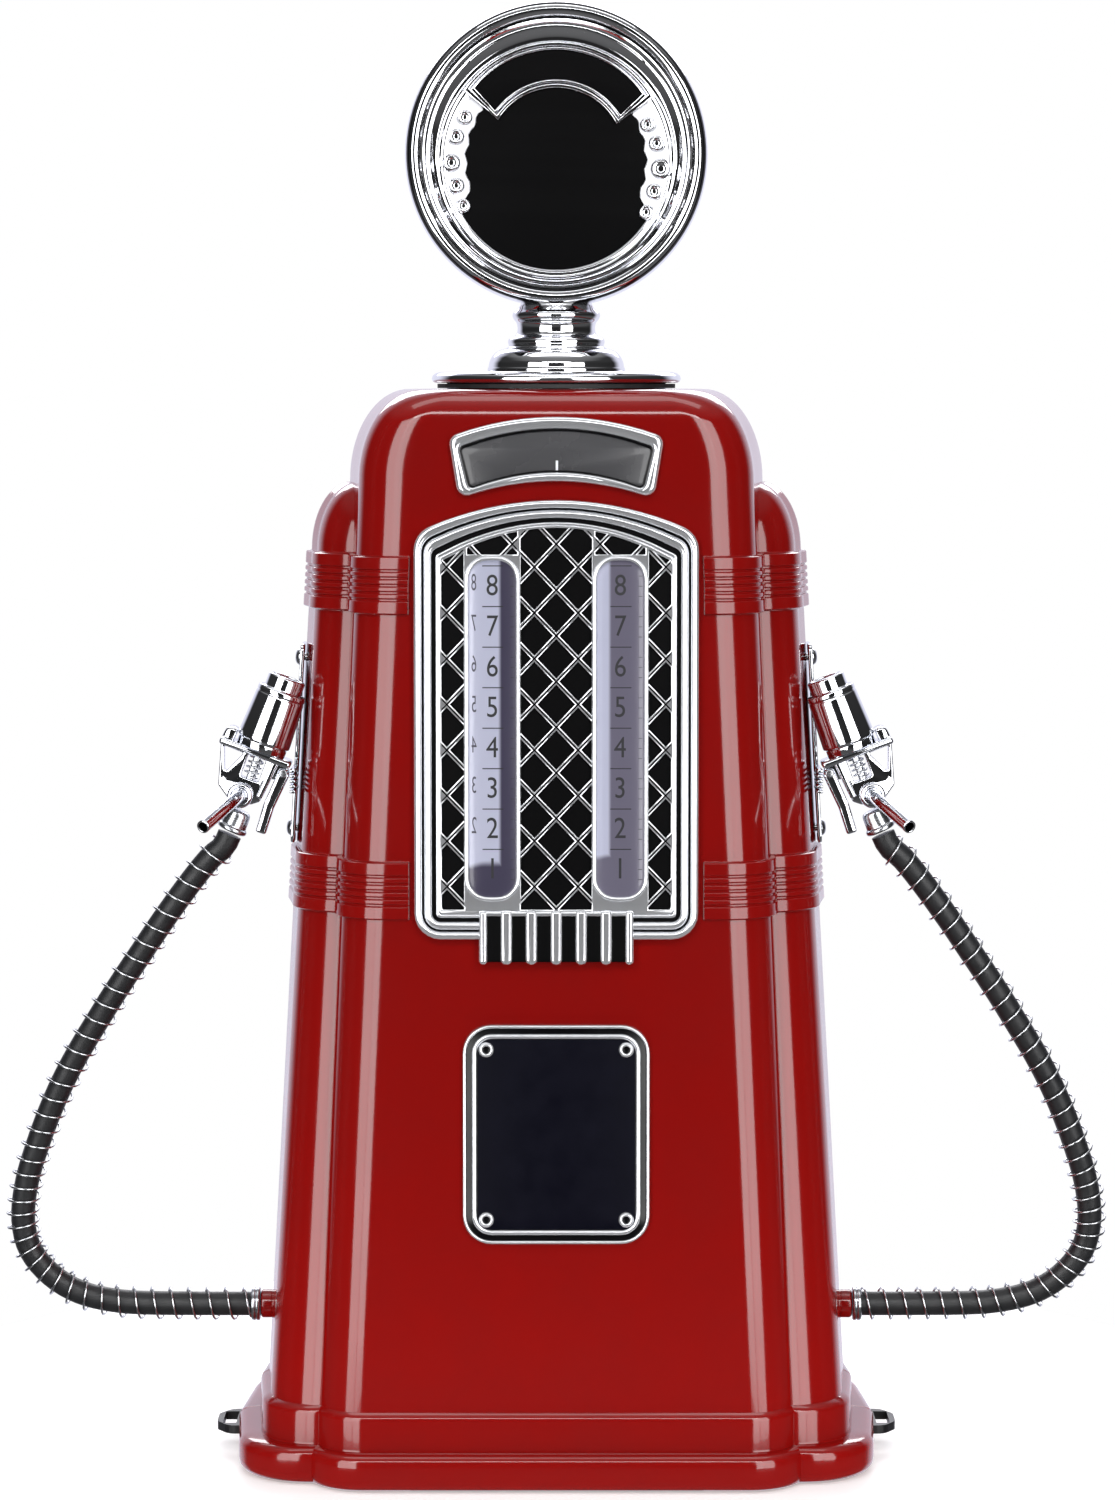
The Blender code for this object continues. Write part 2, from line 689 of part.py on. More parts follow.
def make_name_plate(chrome, black):
    """Framed plate low on the front with four rivets."""
    middle = (0.0, PLATE_CENTRE)
    rings = [rounded_box(PLATE_HALF_WIDTH - d, PLATE_HALF_HEIGHT - d, PLATE_CORNER - d, middle) for d in (0, 4.4)]
    data = outline_mesh("name_plate_frame", rings, GAP, 2.6)
    frame = lean_on_front(place("name_plate_frame", data, chrome))
    groove = [rounded_box(PLATE_HALF_WIDTH - d, PLATE_HALF_HEIGHT - d, PLATE_CORNER - d, middle) for d in (0.8, 2.9)]
    cut(frame, lean_on_front(place("plate_groove", outline_mesh("plate_groove", groove, 1.5, 6))))
    inside = rounded_box(PLATE_HALF_WIDTH - 4.7, PLATE_HALF_HEIGHT - 4.7, PLATE_CORNER - 4.7, middle)
    panel = lean_on_front(place("name_plate_panel", outline_mesh("name_plate_panel", [inside], GAP, 1.7), black))
    spots = [(x * RIVET_OUT, 0.0, PLATE_CENTRE + z * RIVET_RISE) for x in (-1, 1) for z in (1, -1)]
    cut(panel, lean_on_front(place("rivet_holes", rods_mesh("rivet_holes", spots, 1.3, 9, "Y", 12))))
    profile = ((0.0, 3.3), (0.8, 3.3), (1.4, 3.1), (2.0, 2.6), (2.4, 2.0), (1.0, 2.0), (1.0, 0.6), (0.0, 0.6))
    lean = math.atan(CENTRE_DEPTH_TAPER)
    for place_name, (across, _, height) in zip(("top_left", "bottom_left", "top_right", "bottom_right"), spots):
        rivet = turned("name_plate_rivet_" + place_name, profile, chrome, 12)
        rivet.location = Vector((across, -front_depth(height), height)) * MM
        rivet.rotation_euler = (math.pi / 2 - lean, 0.0, 0.0)


def make_tanks(clear, pipe_material):
    """Two clear tanks with filling necks, and the pipe from each to its hose collar."""
    for name, side in SIDES:
        middle = side * (TANK_NEAR + TANK_FAR) / 2
        half = (TANK_FAR - TANK_NEAR) / 2
        outer = [(x + middle, y) for x, y in plan_ring(half, TANK_HALF_DEPTH, 8.0, 0.4, 3)]
        inner = [(x + middle, y) for x, y in plan_ring(half - TANK_WALL, TANK_HALF_DEPTH - TANK_WALL, 6.0, 0.4, 3)]
        tank = place("tank_" + name, loft("tank", [(TANK_BOTTOM, outer), (TANK_TOP, outer)]), clear)
        neck = rods_mesh("neck", [(side * NECK_OUT, 0, 336.0)], NECK_RADIUS, 14.0, steps=16)
        cut(tank, place("neck_" + name, neck), "UNION")
        spout = rods_mesh("outlet", [(side * OUTLET_OUT, 0, 174.0)], 3.6, 12.0, steps=12)
        cut(tank, place("outlet_" + name, spout), "UNION")
        hollow = loft("hollow", [(TANK_BOTTOM + TANK_WALL, inner), (TANK_TOP - TANK_WALL, inner)])
        cut(tank, place("tank_hollow_" + name, hollow))
        bore = rods_mesh("bore", [(side * NECK_OUT, 0, 340.0)], NECK_RADIUS - TANK_WALL, 30.0, steps=16)
        cut(tank, place("neck_bore_" + name, bore))
        drain = rods_mesh("drain", [(side * OUTLET_OUT, 0, 174.0)], 2.0, 20.0, steps=10)
        cut(tank, place("drain_" + name, drain))
        route = ((34, 0, 167.4), (34, 0, 100), (34, 0, 76), (38, 0, 60), (50, 0, 50), (64, 0, 48.1), (85.4, 0, 48.1))
        path = smooth_route([(side * x, y, z) for x, y, z in route], 13)
        hollow_tube("outlet_pipe_" + name, path, 3.4, 1.1, pipe_material, 1)


def smooth_route(points, count):
    """Evenly spaced points along a smooth curve through the given ones."""
    knots = [Vector(p) for p in points]
    knots = [knots[0] * 2 - knots[1]] + knots + [knots[-1] * 2 - knots[-2]]
    fine = []
    for a, b, c, d in zip(knots, knots[1:], knots[2:], knots[3:]):
        for k in range(24):
            t = k / 24
            spot = b * 2 + (c - a) * t + (a * 2 - b * 5 + c * 4 - d) * t**2 + (b * 3 - a - c * 3 + d) * t**3
            fine.append(spot / 2)
    fine.append(knots[-2])
    lengths = [0.0]
    for a, b in zip(fine, fine[1:]):
        lengths.append(lengths[-1] + (b - a).length)
    picked = []
    index = 0
    for k in range(count):
        want = lengths[-1] * k / (count - 1)
        while index < len(lengths) - 2 and lengths[index + 1] < want:
            index += 1
        share = (want - lengths[index]) / max(1e-9, lengths[index + 1] - lengths[index])
        picked.append(fine[index].lerp(fine[index + 1], min(1.0, share)))
    return picked


def tube_mesh(name, path, radius, resolution, capped=True):
    """A round tube along a path, as a mesh."""
    line = bpy.data.curves.new(name, "CURVE")
    line.dimensions = "3D"
    line.bevel_depth = radius * MM
    line.bevel_resolution = resolution
    line.use_fill_caps = capped
    spline = line.splines.new("POLY")
    spline.points.add(len(path) - 1)
    for spot, point in zip(spline.points, path):
        spot.co = (*(Vector(point) * MM), 1.0)
    holder = bpy.data.objects.new(name, line)
    bpy.context.scene.collection.objects.link(holder)
    bpy.context.view_layer.update()
    data = bpy.data.meshes.new_from_object(holder.evaluated_get(bpy.context.evaluated_depsgraph_get()))
    bpy.data.objects.remove(holder)
    return weld(data, name)


def hollow_tube(name, path, radius, wall, material, resolution=3):
    """A round tube with a wall, open at both ends."""
    made = place(name, tube_mesh(name, path, radius, resolution, False), material, smooth=True)
    thick = made.modifiers.new("wall", "SOLIDIFY")
    thick.thickness = wall * MM
    thick.offset = -1.0
    return made


def make_hoses(red, rubber, steel):
    """Both hoses with their spring guards, end rings and the collars on the body."""
    for name, side in SIDES:
        collar_profile = (
            (0.0, 3.4),
            (4.5, 3.4),
            (4.8, 3.1),
            (4.8, 0.3),
            (3.8, 0.3),
            (3.8, -4.5),
            (3.0, -5.0),
            (3.0, -11.0),
            (0.0, -11.0),
        )
        collar = turned("hose_collar_" + name, collar_profile, red, 12)
        aim(collar, (side * 96.9, 0.0, HOSE_HEIGHT), (side, 0, 0))
        ring_profile = ((4.4, 3.0), (5.4, 3.0), (5.7, 2.6), (5.7, 0.3), (5.4, 0.0), (4.4, 0.0))
        ring = turned("hose_end_ring_" + name, ring_profile, steel, 12, closed=True)
        aim(ring, (side * 100.6, 0.0, HOSE_HEIGHT), (side, 0, 0))
        route = [(side * out, back, height) for out, back, height in HOSE_ROUTE]
        path = smooth_route(route, 23)
        place("hose_" + name, tube_mesh("hose_" + name, path, HOSE_RADIUS, 2), rubber, smooth=True)
        sheath = path[1:-1]
        sheath[0] = Vector((side * 104.0, 0.0, HOSE_HEIGHT))
        hollow_tube("hose_guard_" + name, sheath, GUARD_RADIUS, GUARD_RADIUS - HOSE_RADIUS - GAP, steel, 2)


def make_lid(chrome, black):
    """The lift-off top: plate, gasket, pedestal and round sign."""
    plate_profile = (
        (0.0, LID_TOP),
        (39.6, LID_TOP),
        (40.9, LID_TOP - 0.4),
        (LID_RADIUS, LID_TOP - 1.4),
        (LID_RADIUS, LID_TOP - 2.8),
        (40.9, LID_TOP - 3.6),
        (36.4, LID_TOP - 3.6),
        (36.4, LID_TOP - 10.0),
        (34.4, LID_TOP - 10.0),
        (34.4, LID_TOP - 3.0),
        (0.0, LID_TOP - 3.0),
    )
    turned("top_plate", plate_profile, chrome, 32)
    gasket = ((36.8, 359.7), (39.6, 359.7), (39.6, 358.3), (36.8, 358.3))
    turned("lid_gasket", gasket, black, 32, closed=True)
    pedestal_profile = (
        (0.0, 388.0),
        (11.6, 388.0),
        (12.2, 385.2),
        (14.2, 383.4),
        (14.6, 382.2),
        (14.0, 380.8),
        (13.0, 379.2),
        (12.8, 377.2),
        (13.6, 375.6),
        (15.6, 374.8),
        (16.1, 373.4),
        (15.8, 372.0),
        (17.0, 371.2),
        (19.2, 370.6),
        (21.2, 369.0),
        (22.4, 366.8),
        (22.9, 364.9),
        (22.9, LID_TOP + GAP),
        (0.0, LID_TOP + GAP),
    )
    pedestal = turned("pedestal", pedestal_profile, chrome, 20)
    drum = rods_mesh("drum_seat", [(0, 0, GLOBE_CENTRE)], GLOBE_RADIUS + GAP, 60, "Y", 36)
    cut(pedestal, place("drum_seat", drum))
    rim_profile = (
        (44.6, 11.6),
        (45.6, 13.2),
        (47.2, GLOBE_HALF_DEPTH),
        (48.8, 12.2),
        (49.8, 9.0),
        (GLOBE_RADIUS, 5.0),
        (GLOBE_RADIUS, -5.0),
        (49.8, -9.0),
        (48.8, -12.2),
        (47.2, -GLOBE_HALF_DEPTH),
        (45.6, -13.2),
        (44.6, -11.6),
    )
    rim = turned("sign_rim", rim_profile, chrome, 32, closed=True)
    aim(rim, (0.0, 0.0, GLOBE_CENTRE), (0, -1, 0))
    face_profile = (
        (0.0, 8.6),
        (38.4, 8.6),
        (39.4, 9.4),
        (41.4, 10.6),
        (43.6, 11.6),
        (FACE_RADIUS, 11.0),
        (FACE_RADIUS, 6.6),
        (0.0, 6.6),
    )
    for name, way in (("front", -1), ("rear", 1)):
        face = turned("sign_face_" + name, face_profile, chrome, 32)
        aim(face, (0.0, 0.0, GLOBE_CENTRE), (0, way, 0))
        if way < 0:
            cut(face, place("sign_relief", sign_relief()), "UNION")


def sign_relief():
    """Raised banner frame and the two arcs of round studs on the sign's face."""
    low = GLOBE_CENTRE - FACE_DROP
    outer, inner = [], []
    for k in range(13):
        angle = math.radians(90 + 55 - 110 * k / 12)
        outer.append((38.2 * math.cos(angle), low + 38.2 * math.sin(angle)))
        inner.append((24.2 * math.cos(angle), low + 24.2 * math.sin(angle)))
    banner = outer + list(reversed(inner))
    hole_outer, hole_inner = [], []
    for k in range(13):
        angle = math.radians(90 + 51 - 102 * k / 12)
        hole_outer.append((36.2 * math.cos(angle), low + 36.2 * math.sin(angle)))
        hole_inner.append((26.2 * math.cos(angle), low + 26.2 * math.sin(angle)))
    hole = hole_outer + list(reversed(hole_inner))
    frame = outline_mesh("sign_relief", [banner, hole], 8.0, 9.9)
    work = bmesh.new()
    work.from_mesh(frame)
    bmesh.ops.scale(work, vec=(1 / MM, 1 / MM, 1 / MM), verts=work.verts)
    for degrees in (-27.0, -15.0, -1.0, 12.0, 24.0):
        for side in (-1, 1):
            angle = math.radians(degrees)
            spot = (side * 34.4 * math.cos(angle), -8.9, low - 0.8 + 34.4 * math.sin(angle))
            matrix = Matrix.Translation(spot) @ Matrix.Rotation(math.pi / 2, 4, "X")
            bmesh.ops.create_cone(
                work, cap_ends=True, segments=8, radius1=2.6, radius2=1.8, depth=2.0, matrix=matrix
            )
    return mesh_of(work, "sign_relief")


def holster_screw_spots():
    """Centres of the four screws that hold the holster plates."""
    return [(side * out, 0.0, height) for _, side in SIDES for out, height in ((84.0, 268.5), (88.0, 211.0))]


def side_surface(height):
    """How far out the side lobe is at the mid-plane."""
    return SIDE_HALF_WIDTH - SIDE_WIDTH_TAPER * (height - BODY_BASE)


def make_holsters(chrome):
    """Holster plates with a ribbed hook each, and their screws."""
    lean = math.atan(SIDE_WIDTH_TAPER)
    for name, side in SIDES:
        middle = 239.9
        data = block_mesh("holster", (GAP, -9.0, -33.4), (1.6, 9.0, 33.4))
        data.transform(Matrix.Rotation(-lean, 4, "Y"))
        data.transform(Matrix.Translation(Vector((side_surface(middle), 0.0, middle)) * MM))
        if side < 0:
            data.transform(Matrix.Scale(-1, 4, (1, 0, 0)))
            data.flip_normals()
        holster = place("holster_" + name, data, chrome)
        span = sorted((side * 86.4, side * 88.1))
        hook = block_mesh("hook", (span[0], -22.5, 224.6), (span[1], -4.0, 232.9))
        cut(holster, place("hook_" + name, hook), "UNION")
        for k in range(4):
            low = 225.4 + k * 1.7
            span = sorted((side * 87.6, side * 90.0))
            rib = block_mesh("hook_gap", (span[0], -24.0, low), (span[1], -3.0, low + 0.7))
            cut(holster, place("hook_gap_" + name + str(k), rib))
        holes = rods_mesh("plate_holes", [(side * 86, 0, 268.5), (side * 88, 0, 211.0)], 1.4, 16, "X", 12)
        cut(holster, place("plate_holes_" + name, holes))
        profile = ((0.0, 3.6), (1.6, 3.4), (2.5, 2.8), (2.9, 1.9), (1.1, 1.9), (1.1, -6.0), (0.0, -6.0))
        for where, height in (("upper", 268.5), ("lower", 211.0)):
            screw = turned("holster_screw_" + where + "_" + name, profile, chrome, 12)
            aim(screw, (side * side_surface(height), 0.0, height), (side, 0, SIDE_WIDTH_TAPER))


def along(distance, across=0.0):
    """A point beside the nozzle's leaning axis, measured down from the top of its cap."""
    out = NOZZLE_CAP[0] + distance * math.sin(NOZZLE_TILT) - across * math.cos(NOZZLE_TILT)
    height = NOZZLE_CAP[1] - distance * math.cos(NOZZLE_TILT) - across * math.sin(NOZZLE_TILT)
    return out, height


def nozzle_point(side, spot, nearer=0.0):
    """A point of the nozzle's plane in space."""
    return (side * spot[0], NOZZLE_PLANE - nearer, spot[1])


def flat_piece(name, loops, side, half_thickness):
    """A flat nozzle outline drawn outwards, mirrored to its side."""
    mirrored = [[(side * out, height) for out, height in loop] for loop in loops]
    low = -NOZZLE_PLANE - half_thickness
    return outline_mesh(name, mirrored, low, low + 2 * half_thickness)


def nozzle_body_outline():
    """Outer edge of the nozzle body below its bar, with the guard and spring windows."""
    edge = [
        (*along(26.2, -13.5), 1.0),
        (*along(26.2, 8.6), 0.6),
        (88.7, 233.2, 0.6),
        (88.6, 230.6, 1.4),
        (91.8, 229.0, 1.2),
        (95.0, 229.4, 0.4),
        (98.2, 221.8, 1.0),
        (101.0, 220.9, 1.0),
        (107.2, 220.7, 3.0),
        (112.0, 227.6, 1.6),
    ]
    guard_hole = [(109.9, 240.6, 0.5), (109.9, 231.6, 0.5), (103.4, 238.0, 0.5)]
    spring_hole = [along(28.2, 3.1), along(28.2, -3.1), along(36.0, -3.1), along(36.0, 3.1)]
    return fillet(edge, 1.0, 2), fillet(guard_hole, 0.5, 1), fillet(spring_hole, 0.4, 1)


def make_nozzle(name, side, chrome, steel):
    """One dispensing nozzle with its trigger, valve stem and spring."""
    down = (side * math.sin(NOZZLE_TILT), 0.0, -math.cos(NOZZLE_TILT))
    up = tuple(-part for part in down)
    barrel_profile = (
        (0.0, 0.0),
        (5.9, 0.0),
        (6.3, -0.4),
        (6.3, -4.4),
        (7.9, -4.6),
        (8.2, -5.6),
        (9.0, -22.6),
        (8.4, -23.4),
        (8.4, -25.6),
        (0.0, -25.6),
    )
    barrel = turned("nozzle_barrel_" + name, barrel_profile, chrome, 16)
    aim(barrel, nozzle_point(side, NOZZLE_CAP), up)
    bore = turned_cutter("stem_bore_" + name, side, along(24.0), along(38.5), 1.6)
    cut(barrel, bore)

    loops = nozzle_body_outline()
    body = place("nozzle_body_" + name, flat_piece("nozzle_body", loops, side, 2.0), chrome)
    bar = fillet([(*along(25.9, -13.6), 0.6), (*along(25.9, 11.3), 0.5), (*along(27.6, 11.3), 0.5),
                  (*along(27.6, -13.6), 0.6)], 0.5, 2)
    cut(body, place("nozzle_bar_" + name, flat_piece("nozzle_bar", [bar], side, 6.2)), "UNION")
    boss = [(*along(22.4, -13.0), 2.4), (*along(22.4, -9.7), 0.4), (*along(26.5, -9.7), 0.0), (*along(26.5, -13.0), 0.0)]
    cut(body, place("nozzle_boss_" + name, flat_piece("nozzle_boss", [fillet(boss, 0.4, 2)], side, 3.2)), "UNION")
    root = nozzle_point(side, SPOUT_ROOT, 1.5)
    hub = rods_mesh("hub", [root], 4.2, 8.0, "Y", 16)
    cut(body, place("spout_hub_" + name, hub), "UNION")
    socket = rods_mesh("socket", [nozzle_point(side, SPOUT_ROOT, 4.5)], 2.5, 5.0, "Y", 14)
    cut(body, place("spout_socket_" + name, socket))
    cut(body, bore)
    pin_hole = rods_mesh("pin_hole", [nozzle_point(side, TRIGGER_PIVOT)], 1.1, 14, "Y", 14)
    cut(body, place("pin_hole_" + name, pin_hole))

    steps = ((104.6, -20.6, 224.2), (104.6, -24.4, 224.2), (105.2, -27.0, 223.8), (108.6, -34.2, 221.2),
             (114.8, -47.0, 216.4))
    path = smooth_route([(side * x, y, z) for x, y, z in steps], 12)
    hollow_tube("nozzle_spout_" + name, path, 2.15, 0.6, chrome, 2)

    connector_profile = (
        (0.0, 0.0),
        (3.2, 0.0),
        (3.8, -0.6),
        (4.1, -1.6),
        (4.6, -6.2),
        (4.9, -6.8),
        (4.6, -7.4),
        (0.0, -7.4),
    )
    connector = turned("hose_connector_" + name, connector_profile, steel, 12)
    slope = (side * (CONNECTOR_TOP[0] - CONNECTOR_END[0]), 0.0, CONNECTOR_TOP[1] - CONNECTOR_END[1])
    aim(connector, nozzle_point(side, CONNECTOR_TOP), slope)

    make_trigger(name, side, chrome)
    stem_profile = ((0.0, 5.2), (1.1, 5.2), (1.3, 4.9), (1.3, -6.0), (0.0, -6.0))
    stem = turned("valve_stem_" + name, stem_profile, steel, 10)
    aim(stem, nozzle_point(side, along(31.6)), up)
    spring_profile = ((1.7, 3.1), (2.6, 3.1), (2.6, -3.0), (1.7, -3.0))
    spring = turned("trigger_spring_" + name, spring_profile, steel, 12, closed=True)
    aim(spring, nozzle_point(side, along(31.7)), up)


def turned_cutter(name, side, start, end, radius):
    """A round cutter between two points of the nozzle's plane."""
    a = Vector(nozzle_point(side, start))
    b = Vector(nozzle_point(side, end))
    work = bmesh.new()
    turn = (b - a).to_track_quat("Z", "Y").to_matrix().to_4x4()
    matrix = Matrix.Translation((a + b) / 2) @ turn
    bmesh.ops.create_cone(
        work, cap_ends=True, segments=16, radius1=radius, radius2=radius, depth=(b - a).length, matrix=matrix
    )
    return place(name, mesh_of(work, name))


def make_trigger(name, side, chrome):
    """Forked trigger that straddles the nozzle body, and the pin it turns on."""
    shape = [
        (88.9, 232.9, 1.2),
        (91.6, 233.0, 1.2),
        (97.0, 221.0, 2.0),
        (99.7, 212.0, 0.8),
        (96.4, 210.9, 0.8),
        (93.6, 219.6, 2.0),
        (88.4, 230.4, 1.2),
    ]
    data = flat_piece("trigger", [fillet(shape, 1.0, 3)], side, 3.6)
    trigger = place("trigger_" + name, data, chrome)
    span = sorted((side * 84.0, side * 100.0))
    slot = block_mesh("slot", (span[0], NOZZLE_PLANE - 2.3, 222.0), (span[1], NOZZLE_PLANE + 2.3, 240.0))
    cut(trigger, place("trigger_slot_" + name, slot))
    hole = rods_mesh("trigger_hole", [nozzle_point(side, TRIGGER_PIVOT)], 1.1, 14, "Y", 14)
    cut(trigger, place("trigger_hole_" + name, hole))
    set_origin(trigger, nozzle_point(side, TRIGGER_PIVOT))
    pin = turned("trigger_pin_" + name, ((0.0, 4.0), (0.8, 4.0), (0.8, -4.0), (0.0, -4.0)), chrome, 10)
    aim(pin, nozzle_point(side, TRIGGER_PIVOT), (0, -1, 0))


def main():
    """Build every piece."""
    red = finish("red_gloss", (0.35, 0.006, 0.006), 0.0, 0.12)
    chrome = finish("chrome_plate", (0.86, 0.87, 0.9), 1.0, 0.08)
    steel = finish("bright_steel", (0.7, 0.71, 0.74), 1.0, 0.22)
    black = finish("black_gloss", (0.012, 0.012, 0.015), 0.0, 0.2)
    grey = finish("display_grey", (0.07, 0.07, 0.075), 0.0, 0.25)
    rubber = finish("hose_rubber", (0.02, 0.02, 0.022), 0.0, 0.55)
    clear = finish("clear_plastic", (0.82, 0.84, 0.92), 0.0, 0.06, 0.4)
    tubing = finish("pipe_plastic", (0.75, 0.76, 0.78), 0.0, 0.35)
    make_shells(red)
    make_base(black, rubber)
    make_grille(chrome, black, clear)
    make_display(chrome, grey)
    make_name_plate(chrome, black)
    make_tanks(clear, tubing)
    make_hoses(red, rubber, steel)
    make_lid(chrome, black)
    make_holsters(chrome)
    for name, side in SIDES:
        make_nozzle(name, side, chrome, steel)


clear_scene()
PIECES = new_collection("gas_pump")
CUTTERS = new_collection("cutters")
main()
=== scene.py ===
import math
import bmesh
import bpy
from mathutils import Matrix, Vector


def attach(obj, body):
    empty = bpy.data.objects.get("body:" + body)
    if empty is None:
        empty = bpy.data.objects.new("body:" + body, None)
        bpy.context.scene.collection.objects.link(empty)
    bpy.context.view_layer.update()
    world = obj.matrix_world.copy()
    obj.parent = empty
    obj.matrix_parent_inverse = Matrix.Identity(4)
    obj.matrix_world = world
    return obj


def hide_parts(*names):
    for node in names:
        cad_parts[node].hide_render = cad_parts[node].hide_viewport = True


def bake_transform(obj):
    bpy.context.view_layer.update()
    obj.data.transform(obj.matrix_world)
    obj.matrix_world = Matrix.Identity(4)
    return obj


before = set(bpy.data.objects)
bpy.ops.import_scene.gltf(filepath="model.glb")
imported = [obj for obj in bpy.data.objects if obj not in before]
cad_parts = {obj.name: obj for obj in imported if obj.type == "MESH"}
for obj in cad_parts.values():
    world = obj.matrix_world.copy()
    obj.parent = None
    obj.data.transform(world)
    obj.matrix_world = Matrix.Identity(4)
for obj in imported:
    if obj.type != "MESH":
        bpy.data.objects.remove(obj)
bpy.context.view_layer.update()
print("gas pump frame loaded")

# the pump is drawn in millimetres; the camera, the lights and the floor are in metres
mm = 0.001
gap = 0.3  # between the front and rear shells
sides = (("left", -1), ("right", 1))
upright = (0, 0, 1)
towardsFront = (0, -1, 0)


def linked(thing):
    bpy.context.scene.collection.objects.link(thing)
    return thing


# a mesh becomes a named piece: smooth, finished, riding on a body and standing for a CAD node
def putMesh(name, data, finish, body=None, node=None, crease=35, spot=(0, 0, 0), turn=(0, 0, 0)):
    piece = linked(bpy.data.objects.new(name, data))
    for polygon in data.polygons:
        polygon.use_smooth = True
    data.set_sharp_from_angle(angle=math.radians(crease))
    names = finish if isinstance(finish, tuple) else (finish,)
    for each in names:
        data.materials.append(made[each])
    piece.location = Vector(spot) * mm
    piece.rotation_euler = turn
    if body:
        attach(piece, body)
    if node:
        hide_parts(node)
    return piece


# raw keeps the points in metres and the faces as they were drawn
def meshFrom(work, name, merge=0.0005, raw=False):
    if not raw:
        if merge:
            bmesh.ops.remove_doubles(work, verts=work.verts, dist=merge)
        bmesh.ops.recalc_face_normals(work, faces=work.faces)
        bmesh.ops.scale(work, vec=(mm, mm, mm), verts=work.verts)
    data = bpy.data.meshes.new(name)
    work.to_mesh(data)
    work.free()
    return data


# faces between neighbouring rings of points
def stitch(work, rings, closed=True):
    for lower, upper in zip(rings, rings[1:]):
        count = len(lower)
        for k in range(count if closed else count - 1):
            j = (k + 1) % count
            work.faces.new((lower[k], lower[j], upper[j], upper[k]))


# spins a profile of (radius, height, finish index) about Z
def turnedMesh(name, profile, steps):
    work = bmesh.new()
    rings = []
    for radius, height, _ in profile:
        angles = [2 * math.pi * k / steps for k in range(steps if radius > 0.001 else 1)]
        rings.append([work.verts.new((radius * math.cos(a), radius * math.sin(a), height)) for a in angles])
    for upper, lower, entry in zip(rings, rings[1:], profile[1:]):
        for k in range(steps):
            ends = ((upper, k), (upper, k + 1), (lower, k + 1), (lower, k))
            corners = list(dict.fromkeys(ring[j % len(ring)] for ring, j in ends))
            if len(corners) > 2:
                work.faces.new(corners).material_index = entry[2]
    return meshFrom(work, name)


# softens the corners of a turned profile so that its edges catch light
def easedProfile(profile, size, steps=3):
    profile = [entry if len(entry) > 2 else (*entry, 0) for entry in profile]
    eased = [profile[0]]
    for before, here, after in zip(profile, profile[1:], profile[2:]):
        a, b, c = Vector(before[:2]), Vector(here[:2]), Vector(after[:2])
        reach = min(size, (a - b).length * 0.4, (c - b).length * 0.4)
        start = b + (a - b).normalized() * reach
        end = b + (c - b).normalized() * reach
        for k in range(steps + 1):
            t = k / steps
            spot = start * (1 - t) ** 2 + b * 2 * t * (1 - t) + end * t * t
            eased.append((spot.x, spot.y, here[2]))
    return eased + [profile[-1]]


def turned(name, profile, finish, spot, direction, body, node=None, steps=64, ease=0.35):
    data = turnedMesh(name, easedProfile(profile, ease), steps)
    turn = Vector(direction).to_track_quat("Z", "Y").to_euler()
    return putMesh(name, data, finish, body, node, 30, spot, turn)


def areaOf(loop):
    return sum(p[0] * q[1] - q[0] * p[1] for p, q in zip(loop, loop[1:] + loop[:1])) / 2


# the filled mesh of a curve or a text
def meshOfCurve(drawing):
    holder = linked(bpy.data.objects.new(drawing.name, drawing))
    bpy.context.view_layer.update()
    data = bpy.data.meshes.new_from_object(holder.evaluated_get(bpy.context.evaluated_depsgraph_get()))
    bpy.data.objects.remove(holder)
    data.transform(Matrix.Rotation(math.pi / 2, 4, "X"))
    return data


# flat outline with holes standing in XZ, from y = -back to y = -front, with rounded edges
def outlineMesh(name, loops, back, front, edge):
    drawing = bpy.data.curves.new(name, "CURVE")
    drawing.dimensions = "2D"
    drawing.fill_mode = "BOTH"
    drawing.extrude = ((front - back) / 2 - edge) * mm
    drawing.bevel_depth = edge * mm
    drawing.bevel_resolution = 2
    drawing.offset = -edge * mm
    for number, loop in enumerate(loops):
        loop = [tuple(point[:2]) for point in loop]
        if (areaOf(loop) > 0) == (number > 0):
            loop.reverse()
        line = drawing.splines.new("POLY")
        line.points.add(len(loop) - 1)
        for spot, (across, up) in zip(line.points, loop):
            spot.co = (across * mm, up * mm, 0.0, 1.0)
        line.use_cyclic_u = True
    data = meshOfCurve(drawing)
    data.transform(Matrix.Translation((0.0, -(back + front) / 2 * mm, 0.0)))
    work = bmesh.new()
    work.from_mesh(data)
    bmesh.ops.remove_doubles(work, verts=work.verts, dist=0.000001)
    bmesh.ops.recalc_face_normals(work, faces=work.faces)
    work.to_mesh(data)
    work.free()
    data.name = name
    data.materials.clear()
    return data


def fillet(corners, radius, steps=5):
    rounded = []
    for i, corner in enumerate(corners):
        here = Vector(corner[:2])
        size = corner[2] if len(corner) > 2 else radius
        before = Vector(corners[i - 1][:2]) - here
        after = Vector(corners[(i + 1) % len(corners)][:2]) - here
        half = before.angle(after) / 2
        if size <= 0 or half > 1.55:  # nearly straight
            rounded.append(tuple(here))
            continue
        reach = size / math.tan(half)
        start = here + before.normalized() * reach
        end = here + after.normalized() * reach
        centre = here + (before.normalized() + after.normalized()).normalized() * (size / math.sin(half))
        first = start - centre
        sweep = first.angle_signed(end - centre)
        for k in range(steps + 1):
            rounded.append(tuple(centre + Matrix.Rotation(-sweep * k / steps, 2) @ first))
    return rounded


def roundedBox(halfWidth, halfHeight, corner, middle=(0.0, 0.0), steps=6):
    ends = ((-1, -1), (1, -1), (1, 1), (-1, 1))
    return fillet([(middle[0] + x * halfWidth, middle[1] + z * halfHeight) for x, z in ends], corner, steps)


